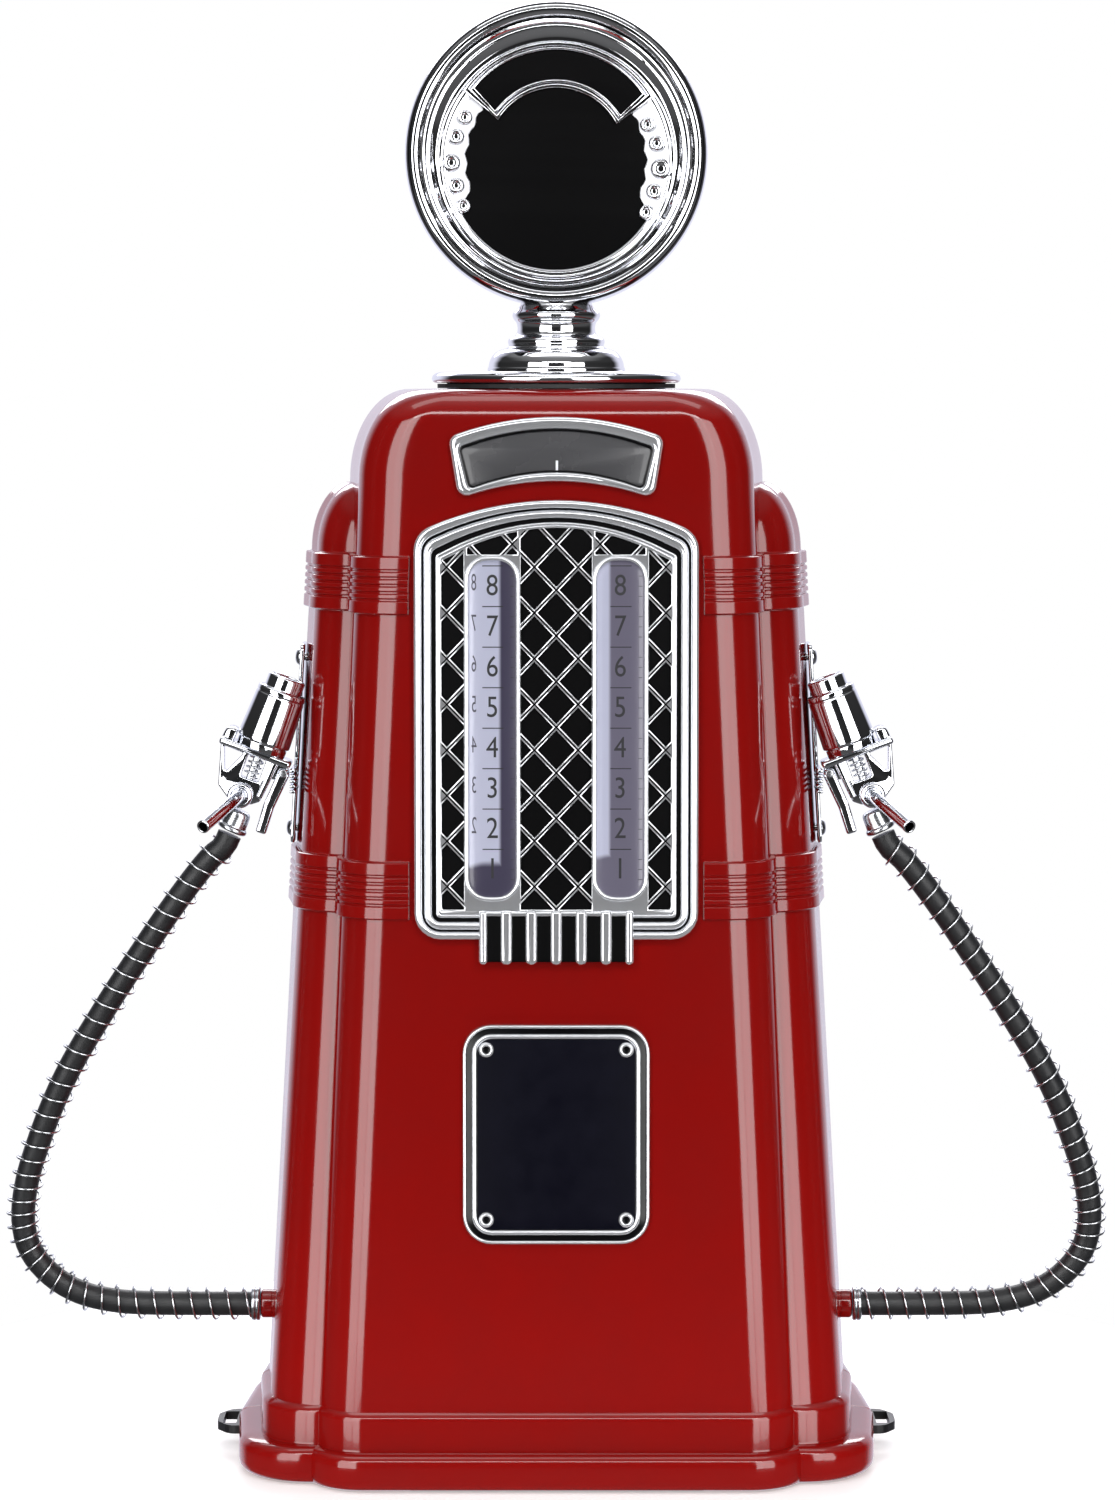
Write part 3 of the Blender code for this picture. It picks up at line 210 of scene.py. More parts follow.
# a panel whose bottom and top edges bow up to an apex
def arched(halfBottom, low, lowApex, halfTop, high, highApex, corner):
    shape = []
    for half, edge, apex, order in ((halfBottom, low, lowApex, 1), (halfTop, high, highApex, -1)):
        shape.append((-half * order, edge, corner))
        if abs(apex - edge) > 0.01:
            for k in range(-8, 9):
                part = k / 10
                shape.append((part * half * order, apex - (apex - edge) * part ** 2, 0.0))
        shape.append((half * order, edge, corner))
    return fillet(shape, corner, 6)


def clipped(shape, fence):
    for a, b in zip(fence, fence[1:] + fence[:1]):
        kept = []
        for p, q in zip(shape, shape[1:] + shape[:1]):
            sideP = (b[0] - a[0]) * (p[1] - a[1]) - (b[1] - a[1]) * (p[0] - a[0])
            sideQ = (b[0] - a[0]) * (q[1] - a[1]) - (b[1] - a[1]) * (q[0] - a[0])
            if sideP >= 0:
                kept.append(p)
            if (sideP >= 0) != (sideQ >= 0):
                share = sideP / (sideP - sideQ)
                kept.append((p[0] + (q[0] - p[0]) * share, p[1] + (q[1] - p[1]) * share))
        shape = kept
    return shape


def marksAlong(path):
    marks = [0.0]
    for a, b in zip(path, path[1:]):
        marks.append(marks[-1] + (b - a).length)
    return marks


# evenly spaced points on one smooth curve through the given ones
def smoothRoute(points, count):
    knots = [Vector(p) for p in points]
    knots = [knots[0] * 2 - knots[1]] + knots + [knots[-1] * 2 - knots[-2]]
    fine = []
    for a, b, c, d in zip(knots, knots[1:], knots[2:], knots[3:]):
        for k in range(24):
            t = k / 24
            bend = (a * 2 - b * 5 + c * 4 - d) * t ** 2 + (b * 3 - a - c * 3 + d) * t ** 3
            fine.append((b * 2 + (c - a) * t + bend) / 2)
    fine.append(knots[-2])
    marks = marksAlong(fine)
    picked = []
    index = 0
    for k in range(count):
        want = marks[-1] * k / (count - 1)
        while index < len(marks) - 2 and marks[index + 1] < want:
            index += 1
        share = (want - marks[index]) / max(1e-9, marks[index + 1] - marks[index])
        picked.append(fine[index].lerp(fine[index + 1], min(1.0, share)))
    return picked


# each point of a path with two directions square to it
def framesAlong(path):
    frames = []
    side = None
    for i, spot in enumerate(path):
        ahead = (path[min(i + 1, len(path) - 1)] - path[max(i - 1, 0)]).normalized()
        side = side or ahead.orthogonal().normalized()
        side = (side - ahead * side.dot(ahead)).normalized()
        frames.append((spot, side, ahead.cross(side)))
    return frames


# round tube along a path
def tubeMesh(name, path, radii, around, capped=True):
    work = bmesh.new()
    if not isinstance(radii, list):
        radii = [radii] * len(path)
    angles = [2 * math.pi * k / around for k in range(around)]
    rings = []
    for (spot, one, two), radius in zip(framesAlong(path), radii):
        ring = [spot + (one * math.cos(angle) + two * math.sin(angle)) * radius for angle in angles]
        rings.append([work.verts.new(point) for point in ring])
    stitch(work, rings)
    if capped:
        work.faces.new(rings[0])
        work.faces.new(list(reversed(rings[-1])))
    return meshFrom(work, name)


# a helix wound round a path; pitchAt gives its rise per turn
def coilPath(path, radius, pitchAt, perTurn=16, start=0.0, end=1.0):
    marks = marksAlong(path)
    frames = framesAlong(path)
    travelled = marks[-1] * start
    turn = 0.0
    points = []
    index = 0
    while travelled <= marks[-1] * end:
        while index < len(marks) - 2 and marks[index + 1] < travelled:
            index += 1
        share = (travelled - marks[index]) / max(1e-9, marks[index + 1] - marks[index])
        spot, one, two = [low.lerp(high, share) for low, high in zip(frames[index], frames[index + 1])]
        points.append(spot + (one.normalized() * math.cos(turn) + two.normalized() * math.sin(turn)) * radius)
        turn += 2 * math.pi / perTurn
        travelled += pitchAt(travelled / marks[-1]) / perTurn
    return points


# finishes: colours are screen values from 0 to 255, made linear for the shader
def linear(*values):
    shares = [value / 255 for value in values]
    return [s / 12.92 if s <= 0.04045 else ((s + 0.055) / 1.055) ** 2.4 for s in shares] + [1.0]


# a node with its settings, and its inputs set to a value or joined to another node's output
def addNode(tree, kind, inputs={}, **settings):
    node = tree.nodes.new("ShaderNode" + kind)
    for key, value in settings.items():
        setattr(node, key, value)
    joinInputs(tree, node, inputs)
    return node


def joinInputs(tree, node, inputs):
    for key, value in inputs.items():
        if isinstance(value, bpy.types.NodeSocket):
            tree.links.new(value, node.inputs[key])
        else:
            node.inputs[key].default_value = value


# sight window: pale where the tube shows, with painted shade dark at one side and at the bottom
def windowShadeMask(tree, place, look):
    split = addNode(tree, "SeparateXYZ", {0: place})
    ragged = addNode(tree, "TexNoise", {"Vector": place, "Scale": 60.0})
    side, bottom = look["paleTo"], look["darkBelow"]
    across = addNode(tree, "MapRange", {"Value": split.outputs["X"], "From Min": side - 0.0007,
                                        "From Max": side + 0.0007}, interpolation_type="SMOOTHSTEP")
    lift = addNode(tree, "Math", {0: ragged.outputs["Fac"], 1: 0.006, 2: split.outputs["Z"]},
                   operation="MULTIPLY_ADD")
    low = addNode(tree, "MapRange", {"Value": lift.outputs[0], "From Min": bottom + 0.001,
                                     "From Max": bottom - 0.001}, interpolation_type="SMOOTHSTEP")
    both = addNode(tree, "Math", {0: across.outputs["Result"], 1: low.outputs["Result"]}, operation="MAXIMUM")
    return both.outputs[0]


# colour mottle, roughness clouds, fine grain and slow waviness on one Principled BSDF
def makeFinish(name, look):
    material = bpy.data.materials.new(name)
    material.use_nodes = True
    tree = material.node_tree
    place = addNode(tree, "TexCoord").outputs["Object"]

    def noise(scale, detail):
        return addNode(tree, "TexNoise", {"Vector": place, "Scale": scale, "Detail": detail}).outputs["Fac"]

    clouds = noise(look.get("clouds", 45.0), 5.0)
    mask = windowShadeMask(tree, place, look) if "paleTo" in look else clouds
    shade = addNode(tree, "Mix", {0: mask, 6: linear(*look["colour"]), 7: linear(*look["second"])},
                    data_type="RGBA")
    smooth = look["roughness"]
    rough = addNode(tree, "MapRange", {"Value": clouds, "From Min": 0.3, "From Max": 0.7, "To Min": smooth,
                                       "To Max": smooth + look["spread"]})
    slow = addNode(tree, "Bump", {"Height": noise(look.get("wave", 18.0), 1.0), "Distance": 0.001,
                                  "Strength": look.get("ripple", 0.1)})
    fine = addNode(tree, "Bump", {"Height": noise(look["grain"], 3.0), "Distance": 0.0002,
                                  "Strength": look["bump"], "Normal": slow.outputs["Normal"]})
    joinInputs(tree, tree.nodes["Principled BSDF"], {
        "Base Color": shade.outputs[2], "Roughness": rough.outputs["Result"],
        "Normal": fine.outputs["Normal"], "Metallic": look.get("metallic", 0.0),
        "Coat Weight": look.get("coat", 0.0), "Coat Roughness": look.get("coatRoughness", 0.03),
        "IOR": look.get("ior", 1.5), "Alpha": look.get("alpha", 1.0),
    })
    return material


sightWindow = dict(slot="clear_plastic", colour=(196, 198, 220), roughness=0.12, spread=0.06, coat=0.5,
                   grain=700, bump=0.03)
finishes = {
    "enamelRed": dict(slot="red_gloss", colour=(144, 12, 9), second=(134, 10, 8), roughness=0.1, spread=0.04,
                      coat=0.4, coatRoughness=0.02, grain=1400, bump=0.03, wave=30),
    "chromePlate": dict(slot="chrome_plate", colour=(236, 238, 243), second=(222, 224, 230), metallic=1.0,
                        roughness=0.03, spread=0.04, grain=1600, bump=0.02, wave=60, ripple=0.12),
    "frameChrome": dict(slot="chrome_plate", colour=(244, 245, 248), second=(232, 234, 239), metallic=0.72,
                        roughness=0.06, spread=0.06, grain=1600, bump=0.02, wave=60),
    "signChrome": dict(slot="chrome_plate", colour=(238, 239, 243), second=(228, 229, 234), metallic=1.0,
                       roughness=0.035, spread=0.03, grain=1500, bump=0.015, wave=25, ripple=0.06),
    "brightSteel": dict(slot="bright_steel", colour=(204, 206, 210), second=(182, 184, 190), metallic=1.0,
                        roughness=0.16, spread=0.12, grain=2600, bump=0.06, wave=90),
    "guardWire": dict(slot="bright_steel", colour=(216, 218, 222), second=(190, 192, 196), metallic=1.0,
                      roughness=0.18, spread=0.1, grain=3000, bump=0.05),
    "satinChrome": dict(slot="chrome_plate", colour=(240, 241, 245), second=(228, 230, 236), metallic=0.25,
                        roughness=0.3, spread=0.1, coat=0.4, grain=1800, bump=0.04),
    "blackEnamel": dict(slot="black_gloss", colour=(9, 9, 12), second=(6, 6, 8), roughness=0.12, spread=0.08,
                        grain=1200, bump=0.02, wave=30, ripple=0.05, ior=1.4),
    "signBlack": dict(slot="black_gloss", colour=(6, 6, 7), second=(4, 4, 5), roughness=0.45, spread=0.1,
                      grain=1800, bump=0.04, ior=1.12),
    "plateBlack": dict(slot="black_gloss", colour=(9, 9, 19), second=(16, 16, 28), roughness=0.3, spread=0.15,
                       clouds=130, grain=1200, bump=0.06, ior=1.12),
    "baseBlack": dict(colour=(26, 26, 29), second=(18, 18, 20), roughness=0.35, spread=0.15, grain=1100,
                      bump=0.2),
    "displayGrey": dict(slot="display_grey", colour=(82, 82, 85), second=(66, 66, 69), roughness=0.22,
                        spread=0.1, coat=0.4, grain=1500, bump=0.04),
    "hoseRubber": dict(slot="hose_rubber", colour=(33, 34, 37), second=(22, 23, 25), roughness=0.38,
                       spread=0.16, clouds=160, grain=2400, bump=0.22, wave=200, ripple=0.2),
    "footRubber": dict(slot="black_gloss", colour=(28, 28, 30), second=(20, 20, 21), roughness=0.6,
                       spread=0.15, grain=2000, bump=0.3),
    "tankPlastic": dict(colour=(226, 230, 240), second=(212, 217, 230), roughness=0.08, spread=0.06, coat=0.5,
                        alpha=0.45, grain=900, bump=0.03),
    "pipePlastic": dict(colour=(225, 226, 228), second=(208, 210, 212), roughness=0.3, spread=0.12,
                        grain=1200, bump=0.06),
    "printInk": dict(slot="black_gloss", colour=(14, 14, 20), second=(26, 26, 34), roughness=0.4, spread=0.1,
                     clouds=400, grain=2600, bump=0.05),
    # pale print for the painted reflection of the left scale
    "paleInk": dict(slot="black_gloss", colour=(62, 60, 76), second=(84, 82, 98), roughness=0.4, spread=0.1,
                    clouds=400, grain=2600, bump=0.05),
    # the second colours are the painted shade inside each window, darker on the left
    "sightWindow_left": dict(sightWindow, second=(72, 68, 88), paleTo=0.0024, darkBelow=-0.0405),
    "sightWindow_right": dict(sightWindow, second=(112, 108, 126), paleTo=-0.0034, darkBelow=-0.038),
}
made = {name: makeFinish(name, look) for name, look in finishes.items()}
print("finishes made:", len(made))

cameraLook = {"spot": (0.0004, -1.350, 0.3626), "pitch": 84.692, "lens": 96.87}
cameraData = bpy.data.cameras.new("pumpCamera")
cameraData.lens = cameraLook["lens"]
cameraData.sensor_width = 36
cameraData.sensor_fit = "AUTO"
cameraData.clip_start = 0.05
camera = linked(bpy.data.objects.new("pumpCamera", cameraData))
camera.location = cameraLook["spot"]
camera.rotation_euler = (math.radians(cameraLook["pitch"]), 0.0, 0.0)
bpy.context.scene.camera = camera

# hoses and the spring guards wound over them
hoseLook = {"radius": 4.05, "guardRadius": 5.25, "wire": 0.4, "pitch": 6.3, "bendPitch": 4.4, "points": 90,
            "leavesCollar": (139.4, 0.0, 48.3), "meetsNozzle": (110.6, -18.0, 206.6)}
hoseRoute = (
    (100.7, 0.0, 48.1), (120.0, 0.0, 48.1), (139.4, 0.0, 48.3), (149.4, 0.0, 49.0), (159.3, -0.5, 51.2),
    (167.3, -1.0, 55.0), (174.0, -1.8, 60.8), (178.6, -2.6, 67.8), (180.4, -3.5, 75.6), (180.2, -4.5, 83.7),
    (178.3, -5.6, 93.6), (174.9, -6.7, 104.2), (171.0, -7.8, 114.6), (166.4, -9.0, 125.0),
    (160.8, -10.2, 135.6), (153.9, -11.5, 147.0), (146.6, -12.8, 158.6), (138.7, -14.0, 170.4),
    (130.7, -15.3, 182.2), (122.3, -16.6, 193.8), (115.2, -17.5, 202.6), (110.6, -18.0, 206.6),
    (108.45, -18.0, 210.8),
)


# the guard's turns crowd together on the tight bend
def guardPitch(share):
    nearBend = math.exp(-((share - 0.38) / 0.12) ** 2)
    return hoseLook["pitch"] * (1 - nearBend) + hoseLook["bendPitch"] * nearBend


def makeHoses():
    look = hoseLook
    for name, side in sides:
        route = smoothRoute([(side * x, y, z) for x, y, z in hoseRoute], look["points"])
        data = tubeMesh("pumpHose_" + name, route, look["radius"], 28)
        hose = putMesh("pumpHose_" + name, data, "hoseRubber", node="hose_" + name, crease=60)
        wire = coilPath(route, look["guardRadius"], guardPitch, 16, 0.012, 0.985)
        data = tubeMesh("hoseGuard_" + name, wire, look["wire"], 6)
        guard = putMesh("hoseGuard_" + name, data, "guardWire", node="hose_guard_" + name, crease=70)
        for piece in (hose, guard):
            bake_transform(piece)


makeHoses()
print("hoses and guards made")

# red shells: two overlapping lobes, each drawn as a front half and a rear half
shellLook = {
    "base": 25.2, "top": 358.0, "sideShoulder": 304.9, "centreShoulder": 328.0, "frontRound": 347.0,
    "frontDraft": 0.0242, "sideDraft": 0.0575, "bands": (196.4, 295.1), "bandHalf": 9.4, "bandProud": 1.8,
    "grooves": 5, "groovePitch": 2.35, "grooveDepth": 0.62, "bandEnd": 47.7, "wall": 2.6, "cornerSteps": 12,
    "lidHole": 37.2,
}
frontLean = math.atan(shellLook["frontDraft"])


def frontDepth(height):
    return 58.0 - shellLook["frontDraft"] * (height - shellLook["base"])


def sideReach(height):
    return 97.8 - shellLook["sideDraft"] * (height - shellLook["base"])


# one level of a lobe, from the seam round a half and back to the seam
def halfRing(halfWidth, halfDepth, corner, draft, half, flush=None):
    steps = shellLook["cornerSteps"]
    edge = half * gap / 2
    ring = []
    flatAt = halfWidth - draft - corner
    for order, (side, quarter) in enumerate(((1, 0), (-1, 1)) if half > 0 else ((-1, 2), (1, 3))):
        start = (side * halfWidth, edge + half * 0.35)
        lip = [(side * (halfWidth - shellLook["wall"]), edge), (side * (halfWidth - 0.35), edge),
               (side * (halfWidth - 0.1), edge + half * 0.1), start]
        end = Vector((side * (flatAt + corner), half * (halfDepth - corner)))
        lip += [tuple(Vector(start).lerp(end, k / 6)) for k in range(1, 6)]
        if order == 0:
            ring += lip
        for k in range(steps + 1):
            angle = (quarter + k / steps) * math.pi / 2
            ring.append((side * flatAt + corner * math.cos(angle), end.y + corner * math.sin(angle)))
        if order == 0:
            near = min(shellLook["bandEnd"] + 0.15, flatAt * 0.96)
            level = halfDepth if flush is None or half > 0 else flush
            ring.append((side * near, half * halfDepth))
            ring += [(side * (near - 0.3) * (1 - k / 5), half * level) for k in range(11)]
            ring.append((-side * near, half * halfDepth))
        else:
            ring += reversed(lip)
    return ring


# heights and outward steps of the two grooved bands
def bandRows():
    rows = []
    proud, groove = shellLook["bandProud"], shellLook["bandProud"] - shellLook["grooveDepth"]
    for middle in shellLook["bands"]:
        low, high = middle - shellLook["bandHalf"], middle + shellLook["bandHalf"]
        rows += [(low - 0.25, 0.0), (low, 0.2), (low + 0.15, proud - 0.4), (low + 0.5, proud)]
        for k in range(shellLook["grooves"]):
            at = middle + (k - (shellLook["grooves"] - 1) / 2) * shellLook["groovePitch"]
            rows += [(at - 0.75, proud), (at - 0.5, proud - 0.12), (at - 0.22, groove)]
            rows += [(at + 0.22, groove), (at + 0.5, proud - 0.12), (at + 0.75, proud)]
        rows += [(high - 0.5, proud), (high - 0.15, proud - 0.4), (high, 0.2), (high + 0.25, 0.0)]
    return rows


# height, and how far the plinth flares there as a share of its widest
footRows = (
    (0.5, 0.62), (1.2, 0.86), (2.6, 0.97), (4.5, 1.0), (8.4, 1.0), (10.2, 0.97), (11.5, 0.86), (12.2, 0.7),
    (12.45, 0.45), (12.6, 0.31), (13.2, 0.29), (22.6, 0.26), (23.8, 0.22), (24.7, 0.1), (25.2, 0.0),
    (26.0, 0.0),
)


def centreRing(height, grow, foot, half):
    rise = max(0.0, height - shellLook["base"])
    halfWidth = 83.0 - 0.0469 * rise + grow + 4.0 * foot
    halfDepth = 58.0 - shellLook["frontDraft"] * rise + 7.0 * foot
    return halfRing(halfWidth, halfDepth + grow, 16.0 + grow + 3.0 * foot, 4.5, half, halfDepth)


def sideRing(height, grow, foot, half):
    rise = max(0.0, height - shellLook["base"])
    halfWidth = 97.8 - shellLook["sideDraft"] * rise + grow + 10.4 * foot
    halfDepth = 48.0 - 0.0778 * rise + grow + 7.0 * foot
    return halfRing(halfWidth, halfDepth, 19.0 - 0.008 * rise + grow + 4.0 * foot, 2.5, half)


def centreTop(half):
    levels = []
    top, roundAt, hole = shellLook["top"], shellLook["frontRound"], shellLook["lidHole"]
    for turn in range(0, 91, 5):
        angle = math.radians(turn)
        height = shellLook["centreShoulder"] + 30.0 * math.sin(angle)
        depth = frontDepth(min(height, roundAt))
        if height > roundAt:
            past = min(1.0, (height - roundAt) / (top - roundAt))
            depth -= 9.8 * (1.0 - math.sqrt(max(0.0, 1.0 - past ** 2)))
        levels.append((height, halfRing(49.0 + 19.8 * math.cos(angle), depth, 16.0, 4.5, half)))
    turns = [math.atan2(y, x) for x, y in levels[-1][1]]
    for height, radius in ((top, hole + 0.3), (top - 0.3, hole), (top - 2.6, hole)):
        levels.append((height, [(radius * math.cos(turn), radius * math.sin(turn)) for turn in turns]))
    return levels


def sideTop(half):
    levels = [(shellLook["sideShoulder"], sideRing(shellLook["sideShoulder"], 0.0, 0.0, half))]
    for turn in range(6, 91, 6):
        angle = math.radians(turn)
        width, depth = 68.0 + 13.7 * math.cos(angle), 13.0 + 13.2 * math.cos(angle)
        ring = halfRing(width, depth, min(16.8, depth * 0.66), 2.5, half)
        levels.append((shellLook["sideShoulder"] + 22.4 * math.sin(angle), ring))
    return levels


def makeShells():
    rows = [(height, 0.0, foot) for height, foot in footRows]
    rows += [(height, grow, 0.0) for height, grow in bandRows()]
    rows = [(12.0, -3.2, 0.3), (0.6, -2.6, 0.62)] + sorted(rows)  # the first two turn in under the plinth
    for name, half in (("front", -1), ("rear", 1)):
        work = bmesh.new()
        for ringAt, topAt in ((centreRing, centreTop), (sideRing, sideTop)):
            levels = [(row[0], ringAt(*row, half)) for row in rows] + topAt(half)
            rings = [[work.verts.new((x, y, height)) for x, y in ring] for height, ring in levels]
            stitch(work, rings, False)
        work.faces.new(rings[-1])
        shell = putMesh("redShell_" + name, meshFrom(work, "shell_" + name, 0), "enamelRed", "body",
                        name + "_shell", 40)
        shell.modifiers.new("even normals", "WEIGHTED_NORMAL").keep_sharp = True


makeShells()
print("shells made")


# front furniture lies on the leaning front face
def onFront(name, data, finish, node=None, crease=35, height=248.0, across=0.0):
    data.transform(Matrix.Translation((-across * mm, 0.0, -height * mm)))
    spot = (across, -frontDepth(height), height)
    return putMesh(name, data, finish, "body", node, crease, spot, (-frontLean, 0.0, 0.0))


def frontPlate(name, loops, back, front, edge, finish, node=None, **place):
    return onFront(name, outlineMesh(name, loops, back, front, edge), finish, node, **place)


# rings are (outer inset, inner inset, proud, edge)
grilleLook = {
    "halfWidth": 45.8, "bottom": 180.9, "shoulder": 312.0, "top": 322.6, "corner": 8.5,
    "rings": ((0.0, 2.5, 4.3, 1.15), (3.1, 5.7, 3.9, 1.2), (7.0, 8.0, 3.2, 0.45)),
    "diamond": (7.05, 7.36), "crossing": 249.6, "bar": 1.5, "line": 0.42, "windowOut": 20.6,
    "windowHalf": 9.1, "windowLow": 193.2, "windowHigh": 304.7, "windowRim": 1.5, "fieldLow": 190.6,
    "fieldInset": 7.9, "fenceInset": 8.9,
}


def grilleOutline(inset, corner=None):
    look = grilleLook
    half = look["halfWidth"] - inset
    size = corner or max(1.2, look["corner"] - inset)
    low = look["bottom"] + inset
    return arched(half, low, low, half, look["shoulder"] - inset, look["top"] - inset, size)


def windowOutline(side, grow):
    look = grilleLook
    middle = (side * look["windowOut"], (look["windowLow"] + look["windowHigh"]) / 2)
    halfWidth = look["windowHalf"] - look["windowRim"] + grow
    halfHeight = (look["windowHigh"] - look["windowLow"]) / 2 - look["windowRim"] + grow
    return roundedBox(halfWidth, halfHeight, halfWidth - 1.5, middle)


# the parts of a shape that show between and above the windows
def latticeParts(shape, fence, least):
    look = grilleLook
    near, far = look["windowOut"] - look["windowHalf"] - 0.1, look["windowOut"] + look["windowHalf"] + 0.1
    low, above = look["fieldLow"], look["windowHigh"] + 0.5
    strips = ((-60.0, -far, low), (-near, near, low), (far, 60.0, low),
              (-far + 1.2, -near - 1.2, above), (near + 1.2, far - 1.2, above))
    parts = []
    for left, right, bottom in strips:
        field = [(left, bottom), (right, bottom), (right, 330.0), (left, 330.0)]
        part = clipped(clipped(shape, fence), field)
        if abs(areaOf(part)) > least:
            parts.append(part)
    return parts


def makeGrille():
    look = grilleLook
    frontPlate("grilleBacking", [grilleOutline(1.0)], 0.3, 1.9, 0.2, "signBlack", "grille_backing")
    for number, (outer, inner, proud, edge) in enumerate(look["rings"]):
        frontPlate("grilleRing_%d" % number, [grilleOutline(outer), grilleOutline(inner)], 0.3, proud, edge,
                   "frameChrome", "grille_panel" if number == 0 else None)
    # flat chrome bars crossing, with an engraved dark line down the middle of each
    fence = grilleOutline(look["fenceInset"], 2.0)
    if areaOf(fence) < 0:
        fence.reverse()
    wide, high = look["diamond"]
    slim = look["bar"] / 2 * 1.42
    openings = []
    for row in range(-10, 12):
        for column in range(-7, 8):
            if (row + column) % 2:
                x, z = column * wide, look["crossing"] + row * high
                across, up = wide - slim, high - slim
                diamond = [(x + across, z), (x, z + up), (x - across, z), (x, z - up)]
                openings += latticeParts(diamond, fence, 2.5)
    holes = [windowOutline(side, 0.4) for _, side in sides]
    frontPlate("grilleLattice", [grilleOutline(look["fieldInset"], 2.0)] + openings + holes, 1.9, 3.1, 0.42,
               "frameChrome", crease=50)
    work = bmesh.new()
    for direction in (-1, 1):
        run = Vector((wide, direction * high)).normalized()
        sidestep = Vector((-run.y, run.x)) * look["line"] / 2
        for k in range(-14, 15):
            middle = Vector((k * 2 * wide, look["crossing"]))
            a, b = middle - run * 200, middle + run * 200
            line = [tuple(p) for p in (a - sidestep, b - sidestep, b + sidestep, a + sidestep)]
            for part in latticeParts(line, fence, 0.2):
                work.faces.new([work.verts.new((x, -3.13, z)) for x, z in part])
    onFront("grilleEngraving", meshFrom(work, "grilleEngraving"), "blackEnamel")


makeGrille()

# sight windows with ticks and dial numbers
scaleLook = {"firstTick": 301.5, "pitch": 13.06, "tick": 0.34, "minorTick": 0.2, "numberSize": 9.6,
             "numberWidth": 0.86, "face": 2.33}


def numberInto(work, text, size, squeeze, spot):
    writing = bpy.data.curves.new("dialNumber", "FONT")
    writing.body = text
    writing.size = size * mm
    writing.align_x = "CENTER"
    writing.align_y = "CENTER"
    data = meshOfCurve(writing)
    data.transform(Matrix.Scale(squeeze, 4, (1, 0, 0)))
    data.transform(Matrix.Translation(Vector(spot) * mm))
    work.from_mesh(data)


def tickInto(work, left, right, at, thick):
    low, high = at - thick / 2, at + thick / 2
    corners = ((left, low), (right, low), (right, high), (left, high))
    work.faces.new([work.verts.new((x * mm, -scaleLook["face"] * mm, z * mm)) for x, z in corners])


def makeWindows():
    look = scaleLook
    size, squeeze, pitch, face = look["numberSize"], look["numberWidth"], look["pitch"], look["face"]
    for name, side in sides:
        middle = side * grilleLook["windowOut"]
        frontPlate("windowRim_" + name, [windowOutline(side, 1.5), windowOutline(side, 0.0)], 0.3, 4.0, 0.7,
                   "frameChrome")
        frontPlate("sightWindow_" + name, [windowOutline(side, 0.2)], 0.4, 2.3, 0.5, "sightWindow_" + name,
                   "sight_window_" + name, across=middle)
        work = bmesh.new()
        for k in range(8):
            at = look["firstTick"] - k * pitch
            tickInto(work, middle - 3.2, middle + 3.6, at, look["tick"])
            for minor in (0.25, 0.5, 0.75):
                tickInto(work, middle + 5.9, middle + 7.1, at - pitch * minor, look["minorTick"])
            numberInto(work, str(8 - k), size, squeeze, (middle, -face - 0.01, at - pitch / 2))
        onFront("windowScale_" + name, meshFrom(work, "windowScale", raw=True), "printInk")
    # painted reflection: the left scale shows again, mirrored, on the far wall of its tube
    work = bmesh.new()
    for k in range(7):
        spot = (-grilleLook["windowOut"] - 5.9, -face + 0.005, look["firstTick"] - (k + 0.5) * pitch + 1.0)
        numberInto(work, str(8 - k), size * 0.8, -squeeze * 0.55, spot)
    onFront("windowReflection_left", meshFrom(work, "windowReflection", raw=True), "paleInk")


makeWindows()
print("grille and windows made")

# fins under the grille
finLook = {"half": 24.9, "low": 172.9, "high": 190.4, "slots": 6, "pitch": 8.05, "slot": 4.3}


def makeFins():
    look = finLook
    low, high = look["low"], look["high"]
    block = roundedBox(look["half"] - 0.6, (high - low) / 2 - 0.8, 1.2, (0.0, (low + high) / 2))
    frontPlate("finBacking", [block], 0.3, 4.4, 0.2, "signBlack")
    edges = [-look["half"]]
    for k in range(look["slots"]):
        across = (k - (look["slots"] - 1) / 2) * look["pitch"]
        edges += [across - look["slot"] / 2, across + look["slot"] / 2]
    edges.append(look["half"])
    for number, (left, right) in enumerate(zip(edges[::2], edges[1::2])):
        corner = min(1.7, (right - left) / 2 - 0.1)
        shape = [(left, low, corner), (right, low, corner), (right, high, 0.9), (left, high, 0.9)]
        frontPlate("finBar_%d" % number, [fillet(shape, 1.0)], 0.3, 5.4, 1.0, "frameChrome")
    rail = roundedBox(look["half"] - 0.5, 0.8, 0.5, (0.0, high - 1.0))
    frontPlate("finRail", [rail], 0.3, 5.0, 0.6, "frameChrome")


makeFins()

# display at the top of the front: half bottom, low and its apex, half top, high and its apex, corner
displayLook = {
    "outer": (31.4, 323.0, 328.6, 34.6, 342.9, 349.3, 3.4),
    "inner": (28.0, 326.2, 331.6, 31.2, 339.6, 345.4, 1.6),
    "lipOuter": (28.1, 326.1, 331.5, 31.3, 339.7, 345.5, 1.6),
    "lipInner": (27.5, 326.8, 332.2, 30.6, 338.9, 344.7, 1.2),
    "face": (27.9, 326.3, 331.7, 31.1, 339.5, 345.2, 1.4),
}


def makeDisplay():
    outer, inner, lipOuter, lipInner, face = [arched(*numbers) for numbers in displayLook.values()]
    frontPlate("displayFrame", [outer, inner], 0.3, 3.4, 1.4, "frameChrome", "display_frame")
    frontPlate("displayLip", [lipOuter, lipInner], 0.3, 2.5, 0.2, "blackEnamel")
    frontPlate("displayFace", [face], 0.3, 1.8, 0.3, "displayGrey", "display_face")
    frontPlate("displayDivider", [roundedBox(0.42, 2.1, 0.2, (0.2, 333.2))], 1.6, 2.4, 0.2, "satinChrome")


makeDisplay()

